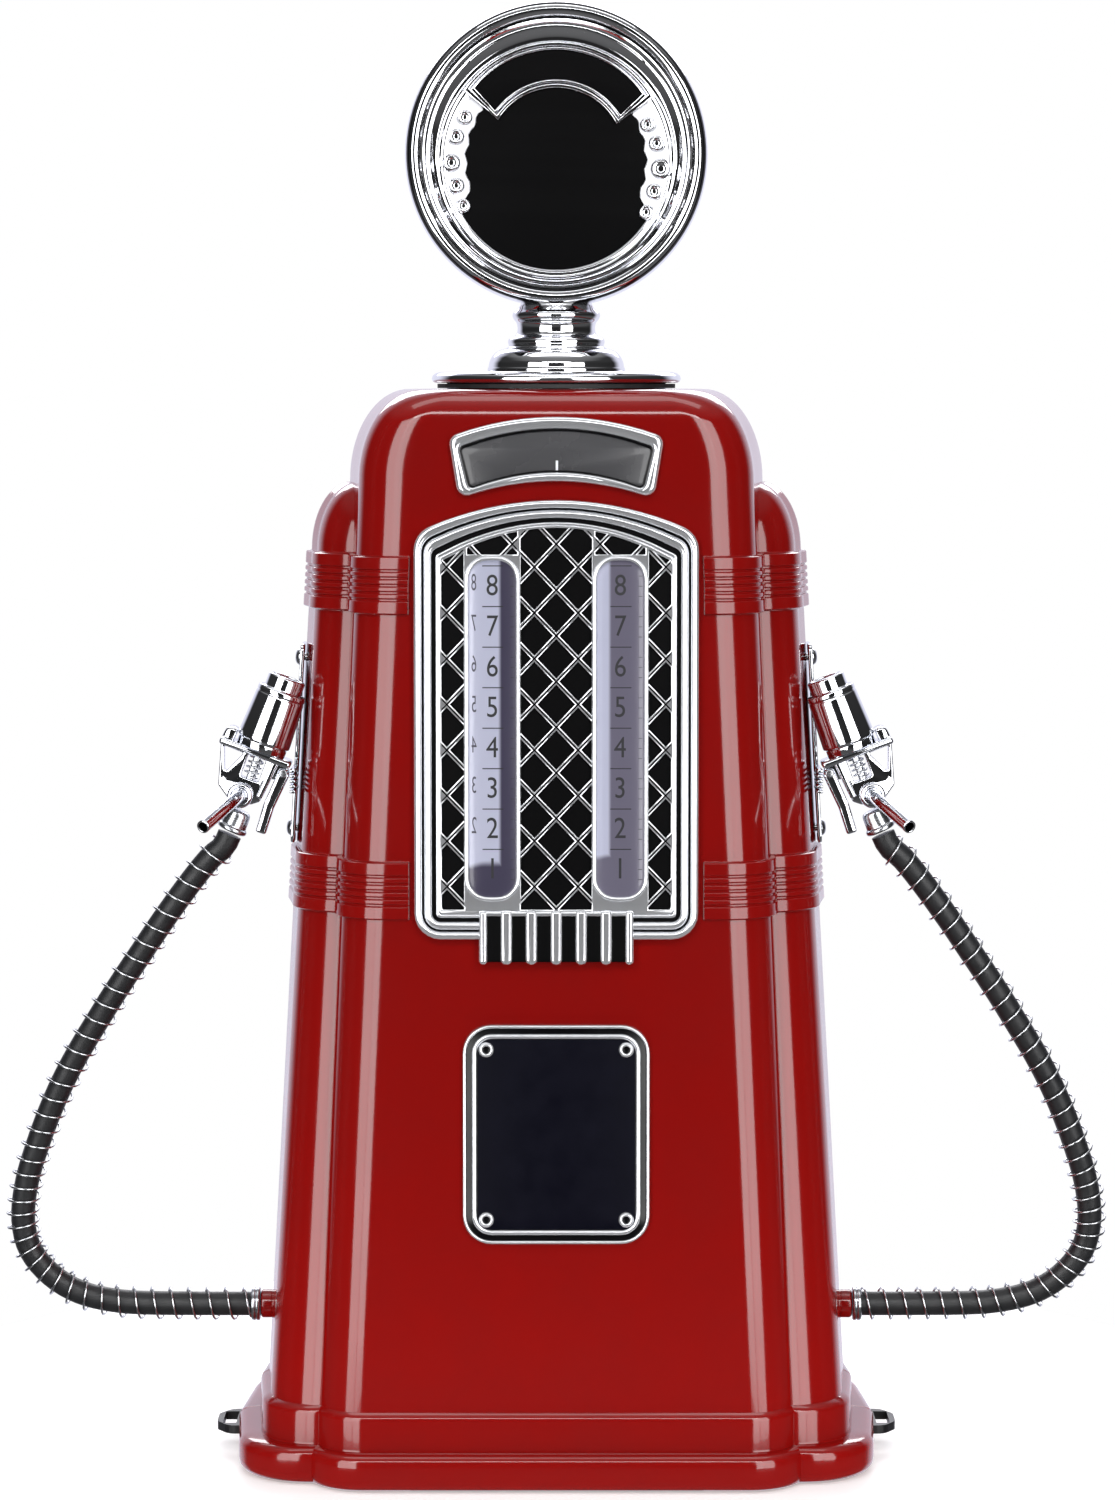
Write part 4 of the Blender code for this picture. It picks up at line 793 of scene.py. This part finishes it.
# name plate without lettering, and its rivets
plateLook = {
    "halfWidth": 30.3, "halfHeight": 35.8, "corner": 9.3, "centre": 117.1, "rivetOut": 22.7,
    "rivetRise": 27.8, "rivet": [(0.0, 2.15, 1), (1.0, 2.2, 1), (1.15, 2.45, 1), (1.3, 3.1), (1.75, 3.3),
                                 (2.25, 3.0), (2.5, 2.4), (2.5, 1.6)],
}


def makeNamePlate():
    look = plateLook

    def panel(name, insets, proud, edge, finish, node=None):
        loops = [roundedBox(look["halfWidth"] - inset, look["halfHeight"] - inset, look["corner"] - inset,
                            (0.0, look["centre"]), 8) for inset in insets]
        frontPlate(name, loops, 0.3, proud, edge, finish, node, height=look["centre"])

    panel("plateChannel", (0.4,), 1.5, 0.2, "blackEnamel", "name_plate_frame")
    panel("plateRingOuter", (0.0, 1.05), 2.6, 0.5, "frameChrome")
    panel("plateRingInner", (2.9, 4.5), 2.6, 0.75, "frameChrome")
    panel("platePanel", (4.7,), 1.8, 0.25, "plateBlack", "name_plate_panel")
    outward = (0, -math.cos(frontLean), math.sin(frontLean))
    for x, across in ((-1, "left"), (1, "right")):
        for z, level in ((1, "top"), (-1, "bottom")):
            where = "%s_%s" % (level, across)
            height = look["centre"] + z * look["rivetRise"]
            spot = (x * look["rivetOut"], -frontDepth(height), height)
            turned("plateRivet_" + where, look["rivet"], ("frameChrome", "blackEnamel"), spot, outward,
                   "body", "name_plate_rivet_" + where, 32, 0.2)


makeNamePlate()
print("display, fins and name plate made")

# lift-off top: plate, pedestal and round sign
topLook = {
    "plate": [(0.0, 363.6), (24.0, 363.6), (37.5, 363.6), (38.6, 363.6), (40.2, 363.2), (41.2, 362.4),
              (41.5, 361.4), (41.2, 360.5), (40.4, 360.0), (36.4, 360.0), (36.4, 353.6), (34.4, 353.6),
              (34.4, 360.4), (0.0, 360.4)],
    "pedestal": [(0.0, 388.6), (11.6, 388.0), (12.0, 385.6), (13.2, 384.0), (14.4, 383.2), (14.65, 382.2),
                 (14.2, 381.0), (13.2, 379.9), (12.85, 378.2), (13.0, 376.6), (13.7, 375.5), (15.3, 375.0),
                 (16.05, 374.2), (16.1, 373.2), (15.7, 372.2), (16.4, 371.5), (18.6, 370.9), (20.2, 370.1),
                 (21.5, 368.6), (22.3, 366.9), (22.6, 365.2), (22.9, 364.7), (22.9, 363.8), (0.0, 363.8)],
}
signLook = {
    "centre": 435.0, "drop": 2.4, "tilt": -2.0,
    "rim": [(44.0, 11.2), (44.5, 12.0, 1), (44.8, 12.4), (45.2, 12.9), (46.2, 13.4), (47.2, 13.5),
            (48.2, 13.0), (48.75, 12.4, 1), (49.3, 11.2, 1), (49.8, 8.6), (49.95, 6.0), (50.0, 3.0),
            (49.6, 2.4), (49.6, 1.8), (50.0, 1.2), (50.0, -1.2), (49.6, -1.8), (49.6, -2.4), (50.0, -3.0),
            (49.95, -6.0), (49.8, -8.6), (49.4, -10.6), (48.9, -12.1), (48.2, -13.0), (47.2, -13.5),
            (46.2, -13.4), (45.2, -12.9), (44.6, -12.2), (44.0, -11.2)],
    # dish steps are (radius, proud, share of the drop)
    "dish": [(44.2, 10.6, 0.0), (43.9, 11.4, 0.0), (43.4, 11.5, 0.0), (42.9, 11.0, 0.0), (42.6, 10.7, 0.05),
             (42.2, 10.9, 0.1), (41.7, 11.0, 0.15), (41.2, 10.5, 0.2), (40.6, 9.8, 0.35), (39.8, 9.1, 0.5),
             (39.3, 8.9, 0.6), (39.0, 9.05, 0.7), (38.6, 9.0, 0.75), (38.3, 8.6, 0.8), (37.6, 8.3, 0.9),
             (37.0, 8.25, 0.95), (36.6, 8.4, 1.0), (36.2, 8.4, 1.0), (35.9, 8.1, 1.0)],
    "enamel": 35.4, "enamelCut": 29.6, "cutFrom": -27, "cutTo": 42, "bannerRise": 1.6, "bannerTrim": -3.0,
    # banner outlines are (outer radius, inner radius, spread either way in degrees), then proud, edge, finish
    "banner": {
        "Outer": (((37.4, 22.4, 57.0), (36.0, 23.8, 54.2)), 9.9, 0.42, "signChrome"),
        "Inner": (((35.8, 24.1, 55.0), (34.8, 25.2, 52.2)), 9.7, 0.42, "signChrome"),
        "Field": (((35.6, 24.4, 54.0),), 8.8, 0.1, "signBlack"),
    },
    "stud": [(0.0, 0.55), (0.35, 0.6), (0.55, 1.0), (0.72, 1.1), (0.9, 0.8), (1.0, 0.2), (1.0, -0.9)],
    # studs are (across, height, radius)
    "studs": {
        "left": ((-30.0, 447.0, 2.5), (-32.9, 440.7, 2.7), (-34.5, 432.2, 3.0), (-32.9, 424.7, 2.7),
                 (-30.5, 418.1, 2.5)),
        "right": ((30.0, 444.6, 2.5), (33.0, 438.5, 2.7), (34.4, 430.2, 3.4), (32.2, 422.8, 2.7),
                  (29.6, 416.0, 2.6)),
    },
}


def makeTop():
    turned("topPlate", topLook["plate"], "chromePlate", (0, 0, 0), upright, "lid", "top_plate", 96, 0.3)
    turned("signPedestal", topLook["pedestal"], "signChrome", (0, 0, 0), upright, "lid", "pedestal", 96, 0.5)
    centre = signLook["centre"]
    turned("signRim", signLook["rim"], ("signChrome", "blackEnamel"), (0, 0, centre), towardsFront, "lid",
           "sign_rim", 128, 0.3)
    # the dish rings slide down towards the black disc, so the top zone is wider than the bottom one
    angles = [2 * math.pi * k / 128 for k in range(128)]
    for name, way in (("front", -1), ("rear", 1)):
        work = bmesh.new()
        rings = []
        for radius, proud, slide in signLook["dish"]:
            low = centre - signLook["drop"] * slide
            ring = [(radius * math.cos(turn), way * proud, low + radius * math.sin(turn)) for turn in angles]
            rings.append([work.verts.new(point) for point in ring])
        stitch(work, rings)
        work.faces.new(rings[-1]).material_index = 1
        putMesh("signDish_" + name, meshFrom(work, "signDish"), ("signChrome", "satinChrome"), "lid",
                "sign_face_" + name, 50)


# outline of a bent banner, its ends cut a little off square
def arcBand(low, outer, inner, spread):
    points = []
    ends = spread - signLook["bannerTrim"]
    for radius, start, stop in ((outer, 90 + spread, 90 - spread), (inner, 90 - ends, 90 + ends)):
        for k in range(25):
            angle = math.radians(start + (stop - start) * k / 24)
            points.append((radius * math.cos(angle), low + radius * math.sin(angle)))
    return points


def onSign(name, loops, proud, edge, finish):
    data = outlineMesh(name, loops, 8.0, proud, edge)
    centre = Vector((0, 0, signLook["centre"])) * mm
    data.transform(Matrix.Translation(-centre))
    data.transform(Matrix.Translation(centre) @ Matrix.Rotation(math.radians(-signLook["tilt"]), 4, "Y"))
    putMesh(name, data, finish, "lid")


def makeSignFace():
    look = signLook
    low = look["centre"] - look["drop"]
    # black enamel: full circle below, cut in beside the studs
    edge = []
    for k in range(120):
        angle = 2 * math.pi * k / 120 + 0.001
        reach = look["enamel"]
        rise = math.degrees(math.atan2(math.sin(angle), abs(math.cos(angle))))
        if look["cutFrom"] < rise < look["cutTo"]:
            share = min(1.0, (rise - look["cutFrom"]) / 5, (look["cutTo"] - rise) / 9)
            cut = (look["enamel"] - look["enamelCut"]) * share
            reach = min(reach, look["enamel"] - cut + 0.5 * math.sin(rise * 0.5))
        edge.append((reach * math.cos(angle), low + reach * math.sin(angle)))
    onSign("signEnamel", [edge], 8.55, 0.1, "signBlack")
    bent = low + look["bannerRise"]
    for name, (bands, proud, edge, finish) in look["banner"].items():
        onSign("signBanner" + name, [arcBand(bent, *band) for band in bands], proud, edge, finish)
    for name, spots in look["studs"].items():
        for number, (x, z, radius) in enumerate(spots):
            profile = [(across * radius, up * 1.2) for across, up in look["stud"]]
            turned("signStud_%s_%d" % (name, number), profile, "signChrome", (x, -8.6, z), towardsFront,
                   "lid", steps=28, ease=0.25)


makeTop()
makeSignFace()
print("top and sign made")

# hose collars and end rings; radii and distances from the middle of the pump
collarLook = {
    "height": 48.1,
    "collar": [(0.0, 100.3), (3.4, 100.3), (4.3, 100.3), (4.8, 99.8), (4.8, 96.9), (4.6, 96.2), (4.9, 95.4),
               (6.2, 94.6), (6.4, 92.0), (0.0, 92.0)],
    "ring": [(4.1, 103.6), (5.0, 103.7), (5.6, 103.3), (5.7, 102.4), (5.3, 102.1), (5.7, 101.8), (5.7, 101.0),
             (5.3, 100.6), (4.1, 100.6)],
}


def makeCollars():
    spot = (0, 0, collarLook["height"])
    for name, side in sides:
        turned("hoseCollar_" + name, collarLook["collar"], "enamelRed", spot, (side, 0, 0), "body",
               "hose_collar_" + name, 40, 0.3)
        turned("hoseEndRing_" + name, collarLook["ring"], "brightSteel", spot, (side, 0, 0), "body",
               "hose_end_ring_" + name, 40, 0.2)


makeCollars()

# nozzles: profiles are (radius, height) and outlines (out, up, corner)
nozzleLook = {
    "plane": -18.0, "tilt": math.radians(20.8), "cap": (88.9, 263.0), "spoutAt": (104.6, 224.2),
    "barrel": [(0.0, -0.5), (4.6, -0.5), (5.0, 0.0), (5.8, 0.0), (6.3, -0.4), (6.3, -4.3), (6.6, -4.6),
               (7.8, -4.6), (8.1, -5.0), (8.2, -6.2), (8.0, -6.7), (8.25, -7.2), (9.0, -22.2), (8.9, -22.7),
               (8.3, -23.1), (8.4, -23.6), (8.4, -25.6), (0.0, -25.6)],
    "hub": [(0.0, 5.0), (2.5, 5.0), (2.7, 6.0), (3.4, 6.2), (4.0, 5.9), (4.3, 5.2), (4.3, 3.6), (4.0, 3.3),
            (4.0, -2.5), (0.0, -2.5)],
    "cone": [(0.0, 0.0), (3.1, 0.0), (3.8, -0.7), (4.0, -1.6), (4.4, -5.6), (5.0, -6.0), (5.1, -7.0),
             (4.7, -7.5), (0.0, -7.5)],
    "coneAt": (104.75, 218.8), "coneSlope": (-3.15, 6.7),
    "pin": [(0.0, 4.3), (1.2, 4.3), (1.5, 3.9), (1.5, 3.7), (0.8, 3.6), (0.8, -3.6), (1.5, -3.7), (1.5, -3.9),
            (1.2, -4.3), (0.0, -4.3)],
    "pinAt": (90.4, 231.4),
    "blade": [(88.9, 232.9, 1.2), (91.6, 233.0, 1.2), (97.0, 221.0, 2.0), (99.7, 212.0, 0.8),
              (96.4, 210.9, 0.8), (93.6, 219.6, 2.0), (88.4, 230.4, 1.2)],
    "webFoot": [(88.7, 233.2, 0.6), (88.6, 230.6, 1.4), (91.8, 229.0, 1.2), (95.0, 229.4, 0.4),
                (98.2, 221.8, 1.0), (101.0, 220.9, 1.0), (107.2, 220.7, 3.0), (112.0, 227.6, 1.6)],
    "guardHole": [(109.9, 240.6, 0.5), (109.9, 231.6, 0.5), (103.4, 238.0, 0.5)],
    "spout": ((104.6, -20.6, 224.2), (104.6, -24.4, 224.2), (105.2, -27.0, 223.8), (108.6, -34.2, 221.2),
              (114.8, -47.0, 216.4)),
}


# a point at a distance down the barrel's axis from its cap, and across it
def along(distance, across=0.0):
    tilt = nozzleLook["tilt"]
    out = nozzleLook["cap"][0] + distance * math.sin(tilt) - across * math.cos(tilt)
    height = nozzleLook["cap"][1] - distance * math.cos(tilt) - across * math.sin(tilt)
    return out, height


def makeNozzle(name, side):
    look = nozzleLook
    rider = "nozzle_" + name

    def placed(spot):
        return (side * spot[0], look["plane"], spot[1])

    def spun(label, part, finish, at, direction, node=None, steps=40, ease=0.35):
        turned("%s_%s" % (label, name), look[part], finish, placed(at), direction, rider,
               node and "%s_%s" % (node, name), steps, ease)

    def flat(label, loops, half, edge, node=None, body=rider):
        mirrored = [[(side * out, up) for out, up in loop] for loop in loops]
        low = -look["plane"] - half
        data = outlineMesh(label, mirrored, low, low + 2 * half, edge)
        putMesh("%s_%s" % (label, name), data, "chromePlate", body, node and "%s_%s" % (node, name))

    axis = (-side * math.sin(look["tilt"]), 0.0, math.cos(look["tilt"]))
    spun("nozzleBarrel", "barrel", "chromePlate", look["cap"], axis, "nozzle_barrel", 64)
    web = [(*along(26.2, -13.5), 1.0), (*along(26.2, 8.6), 0.6)] + look["webFoot"]
    springHole = [along(28.2, 3.1), along(28.2, -3.1), along(36.0, -3.1), along(36.0, 3.1)]
    loops = [fillet(web, 1.0, 4), fillet(look["guardHole"], 0.5, 3), fillet(springHole, 0.6, 3)]
    flat("nozzleWeb", loops, 2.6, 0.55, "nozzle_body")
    bar = [along(25.6, -13.6), along(25.6, 11.3), along(28.0, 11.3), along(28.0, -13.6)]
    boss = [(*along(20.9, -12.9), 2.4), (*along(21.6, -9.0), 0.8), (*along(26.5, -9.4), 0.3),
            (*along(26.5, -13.4), 0.3)]
    strip = [along(27.6, 7.4), along(27.6, 5.0), along(40.6, 4.2), along(40.6, 6.2)]
    flat("nozzleBar", [fillet(bar, 1.0, 4)], 6.2, 1.0)
    flat("nozzleBoss", [fillet(boss, 0.4, 4)], 4.4, 1.2)
    flat("nozzleStrip", [fillet(strip, 0.6, 4)], 4.2, 0.6)
    spun("spoutSocket", "hub", "chromePlate", look["spoutAt"], towardsFront)

    path = smoothRoute([(side * x, y, z) for x, y, z in look["spout"]], 30)
    data = tubeMesh("nozzleSpout_" + name, path, [2.1] * 28 + [2.15] * 2, 28, False)
    spout = putMesh("nozzleSpout_" + name, data, ("chromePlate", "blackEnamel"), rider,
                    "nozzle_spout_" + name)
    wall = spout.modifiers.new("wall", "SOLIDIFY")
    wall.thickness = 0.5 * mm
    wall.offset = -1
    wall.use_even_offset = True
    # painted shade: the inside of the spout gets the black finish
    wall.material_offset = 1  # the bore is dark
    wall.material_offset_rim = 0

    out, up = look["coneSlope"]
    spun("hoseConnector", "cone", "brightSteel", look["coneAt"], (side * out, 0.0, up), "hose_connector")
    a, b = Vector(placed(along(28.6))), Vector(placed(along(35.4)))
    wire = coilPath([a.lerp(b, k / 20) for k in range(21)], 2.3, lambda share: 1.75)
    putMesh("triggerSpring_" + name, tubeMesh("triggerSpring", wire, 0.38, 8), "brightSteel", rider,
            "trigger_spring_" + name, 60)
    spun("triggerPin", "pin", "brightSteel", look["pinAt"], towardsFront, "trigger_pin", 24, 0.15)
    flat("triggerBlade", [fillet(look["blade"], 1.0)], 3.6, 0.7, "trigger", "trigger_" + name)


# holsters: a plate on the side of the pump, ribs of its hook, and two screws
holsterLook = {
    "height": 239.9, "halfWide": 9.0, "halfTall": 33.4, "holes": (28.6, -28.9), "ribs": 5, "ribLow": 224.8,
    "ribPitch": 1.7, "screws": {"upper": 268.5, "lower": 211.0},
    "screw": [(0.0, 3.1), (0.7, 3.1), (0.8, 3.5), (1.4, 3.5), (2.3, 3.0), (2.8, 2.2), (2.8, 1.7), (1.1, 1.7),
              (1.1, -5.0), (0.0, -5.0)],
}


def makeHolster(name, side):
    look = holsterLook
    loops = [roundedBox(look["halfWide"], look["halfTall"], 2.6)]
    loops += [roundedBox(1.3, 1.3, 1.25, (0.0, z)) for z in look["holes"]]
    plate = outlineMesh("holsterPlate", loops, 0.3, 1.6, 0.35)
    plate.transform(Matrix.Rotation(side * math.pi / 2, 4, "Z"))
    plate.transform(Matrix.Rotation(-side * math.atan(shellLook["sideDraft"]), 4, "Y"))
    plate.transform(Matrix.Translation(Vector((side * sideReach(look["height"]), 0.0, look["height"])) * mm))
    putMesh("holsterPlate_" + name, plate, "chromePlate", "body", "holster_" + name)
    work = bmesh.new()
    for k in range(look["ribs"]):
        low = look["ribLow"] + k * look["ribPitch"]
        shape = fillet([(-22.5, low), (-4.0, low), (-4.0, low + 1.1), (-22.5, low + 1.1)], 0.45, 3)
        rib = outlineMesh("hookRib", [shape], 86.3, 88.2, 0.3)
        rib.transform(Matrix.Rotation(math.pi / 2 * side, 4, "Z"))
        if side < 0:
            rib.transform(Matrix.Scale(-1, 4, (0, 1, 0)))
            rib.flip_normals()
        work.from_mesh(rib)
    putMesh("holsterHook_" + name, meshFrom(work, "hookRibs", raw=True), "chromePlate", "body")
    for where, height in look["screws"].items():
        label = "%s_%s" % (where, name)
        turned("holsterScrew_" + label, look["screw"], "brightSteel", (side * sideReach(height), 0.0, height),
               (side, 0, shellLook["sideDraft"]), "body", "holster_screw_" + label, 32, 0.2)


for sideName, sideSign in sides:
    makeNozzle(sideName, sideSign)
    makeHolster(sideName, sideSign)
print("nozzles and holsters made")

footLook = {
    "out": 80.0, "rows": {"front": -26.0, "rear": 26.0},
    "profile": [(0.0, 0.6), (6.2, 0.6), (6.6, 0.0), (8.4, 0.0), (8.9, 0.5), (9.0, 2.2), (8.7, 4.4),
                (8.2, 5.5), (0.0, 5.5)],
}


def makeFeet():
    for row, y in footLook["rows"].items():
        for name, side in sides:
            label = "%s_%s" % (row, name)
            turned("rubberFoot_" + label, footLook["profile"], "footRubber", (side * footLook["out"], y, 0.0),
                   upright, "body", "rubber_foot_" + label, 40)


makeFeet()

# CAD nodes that keep their shape get a finish
kept = {"base_plate": "baseBlack", "lid_gasket": "footRubber"}
for sideName, _ in sides:
    kept.update({"tank_" + sideName: "tankPlastic", "outlet_pipe_" + sideName: "pipePlastic",
                 "valve_stem_" + sideName: "brightSteel"})
for nodeName, finishName in kept.items():
    node = bpy.data.objects[nodeName]
    for each in node.material_slots:
        each.material = made[finishName]
    if not node.material_slots:
        node.data.materials.append(made[finishName])
print("kept nodes finished")

# floor, studio walls and light boxes
stageLook = {
    "radius": 0.27, "glow": 0.35,
    "floor": dict(colour=(243.4,) * 3, second=(242.4,) * 3, roughness=0.5, spread=0.1, clouds=2.0, grain=80.0,
                  bump=0.01, ripple=0.0),
    # brightness against height, from straight below to straight above
    "walls": ((0.0, 0.14), (0.36, 0.08), (0.44, 0.03), (0.55, 0.02), (0.76, 0.04), (0.88, 0.2), (1.0, 0.6)),
    "behind": (0.86, 0.86, 1.0, 1.0),
}


def makeFloor():
    work = bmesh.new()
    bmesh.ops.create_circle(work, cap_ends=True, segments=96, radius=stageLook["radius"])
    data = meshFrom(work, "studioFloor", raw=True)
    floor = linked(bpy.data.objects.new("studioFloor", data))
    material = makeFinish("paleFloor", stageLook["floor"])
    glow = {"Emission Color": (1.0, 1.0, 1.0, 1.0), "Emission Strength": stageLook["glow"]}
    joinInputs(material.node_tree, material.node_tree.nodes["Principled BSDF"], glow)
    data.materials.append(material)
    floor.visible_glossy = False


# dark walls, light overhead and a white wall behind the object; the camera itself sees plain white
def makeWorld():
    world = bpy.data.worlds.new("studioWorld")
    bpy.context.scene.world = world
    world.use_nodes = True
    tree = world.node_tree
    tree.nodes.clear()
    split = addNode(tree, "SeparateXYZ", {0: addNode(tree, "TexCoord").outputs["Generated"]})
    height = addNode(tree, "MapRange", {"Value": split.outputs["Z"], "From Min": -1.0})
    walls = addNode(tree, "ValToRGB", {"Fac": height.outputs["Result"]})
    ramp = walls.color_ramp
    ramp.interpolation = "EASE"
    for position, _ in stageLook["walls"][1:-1]:  # the ramp already has its two ends
        ramp.elements.new(position)
    for element, (_, value) in zip(ramp.elements, stageLook["walls"]):
        element.color = [value] * 3 + [1]
    behind = addNode(tree, "MapRange", {"Value": split.outputs["Y"], "From Min": 0.45, "From Max": 0.8},
                     interpolation_type="SMOOTHSTEP")
    both = addNode(tree, "Mix", {0: behind.outputs["Result"], 6: walls.outputs["Color"],
                                 7: stageLook["behind"]}, data_type="RGBA")
    sky = addNode(tree, "Background", {"Color": both.outputs[2]})
    white = addNode(tree, "Background", {"Color": (1.0, 1.0, 1.0, 1.0)})
    rays = addNode(tree, "LightPath")
    seen = addNode(tree, "MixShader", {0: rays.outputs["Is Camera Ray"], 1: sky.outputs[0],
                                       2: white.outputs[0]})
    addNode(tree, "OutputWorld", {"Surface": seen.outputs[0]})


# a light without wash shows only in gloss, and one without streak lights only matt surfaces
lights = {
    "leftBox": dict(spot=(-0.6, -1.5, 0.45), aim=0.24, size=(0.42, 1.5), power=9),
    "rightBox": dict(spot=(0.6, -1.5, 0.45), aim=0.24, size=(0.42, 1.5), power=9),
    "leftPanel": dict(spot=(-1.03, -1.25, 0.45), aim=0.24, size=(0.6, 1.5), power=12, wash=False),
    "rightPanel": dict(spot=(1.03, -1.25, 0.45), aim=0.24, size=(0.6, 1.5), power=12, wash=False),
    "leftSide": dict(spot=(-1.4, -0.15, 0.4), aim=0.24, size=(0.4, 1.3), power=7, streak=False),
    "rightSide": dict(spot=(1.4, -0.15, 0.4), aim=0.24, size=(0.4, 1.3), power=7, streak=False),
    "topBox": dict(spot=(0.0, -0.1, 1.6), aim=0.2, size=(1.4, 0.5), power=4),
    "frontFill": dict(spot=(0.0, -2.0, 1.6), aim=0.2, size=(2.0, 0.24), power=13),
    "rearFill": dict(spot=(0.0, 1.9, 1.3), aim=0.2, size=(2.0, 0.8), power=22),
}


def makeLights():
    for name, look in lights.items():
        data = bpy.data.lights.new(name, "AREA")
        data.shape = "RECTANGLE"
        data.size, data.size_y = look["size"]
        data.energy = look["power"]
        lamp = linked(bpy.data.objects.new(name, data))
        lamp.location = look["spot"]
        away = Vector(look["spot"]) - Vector((0.0, 0.0, look["aim"]))
        lamp.rotation_euler = away.to_track_quat("Z", "Y").to_euler()
        lamp.visible_camera = False
        lamp.visible_diffuse = look.get("wash", True)
        lamp.visible_glossy = look.get("streak", True)


makeFloor()
makeWorld()
makeLights()
bpy.context.scene.view_settings.view_transform = "Standard"
bpy.context.scene.view_settings.look = "None"
print("studio made")
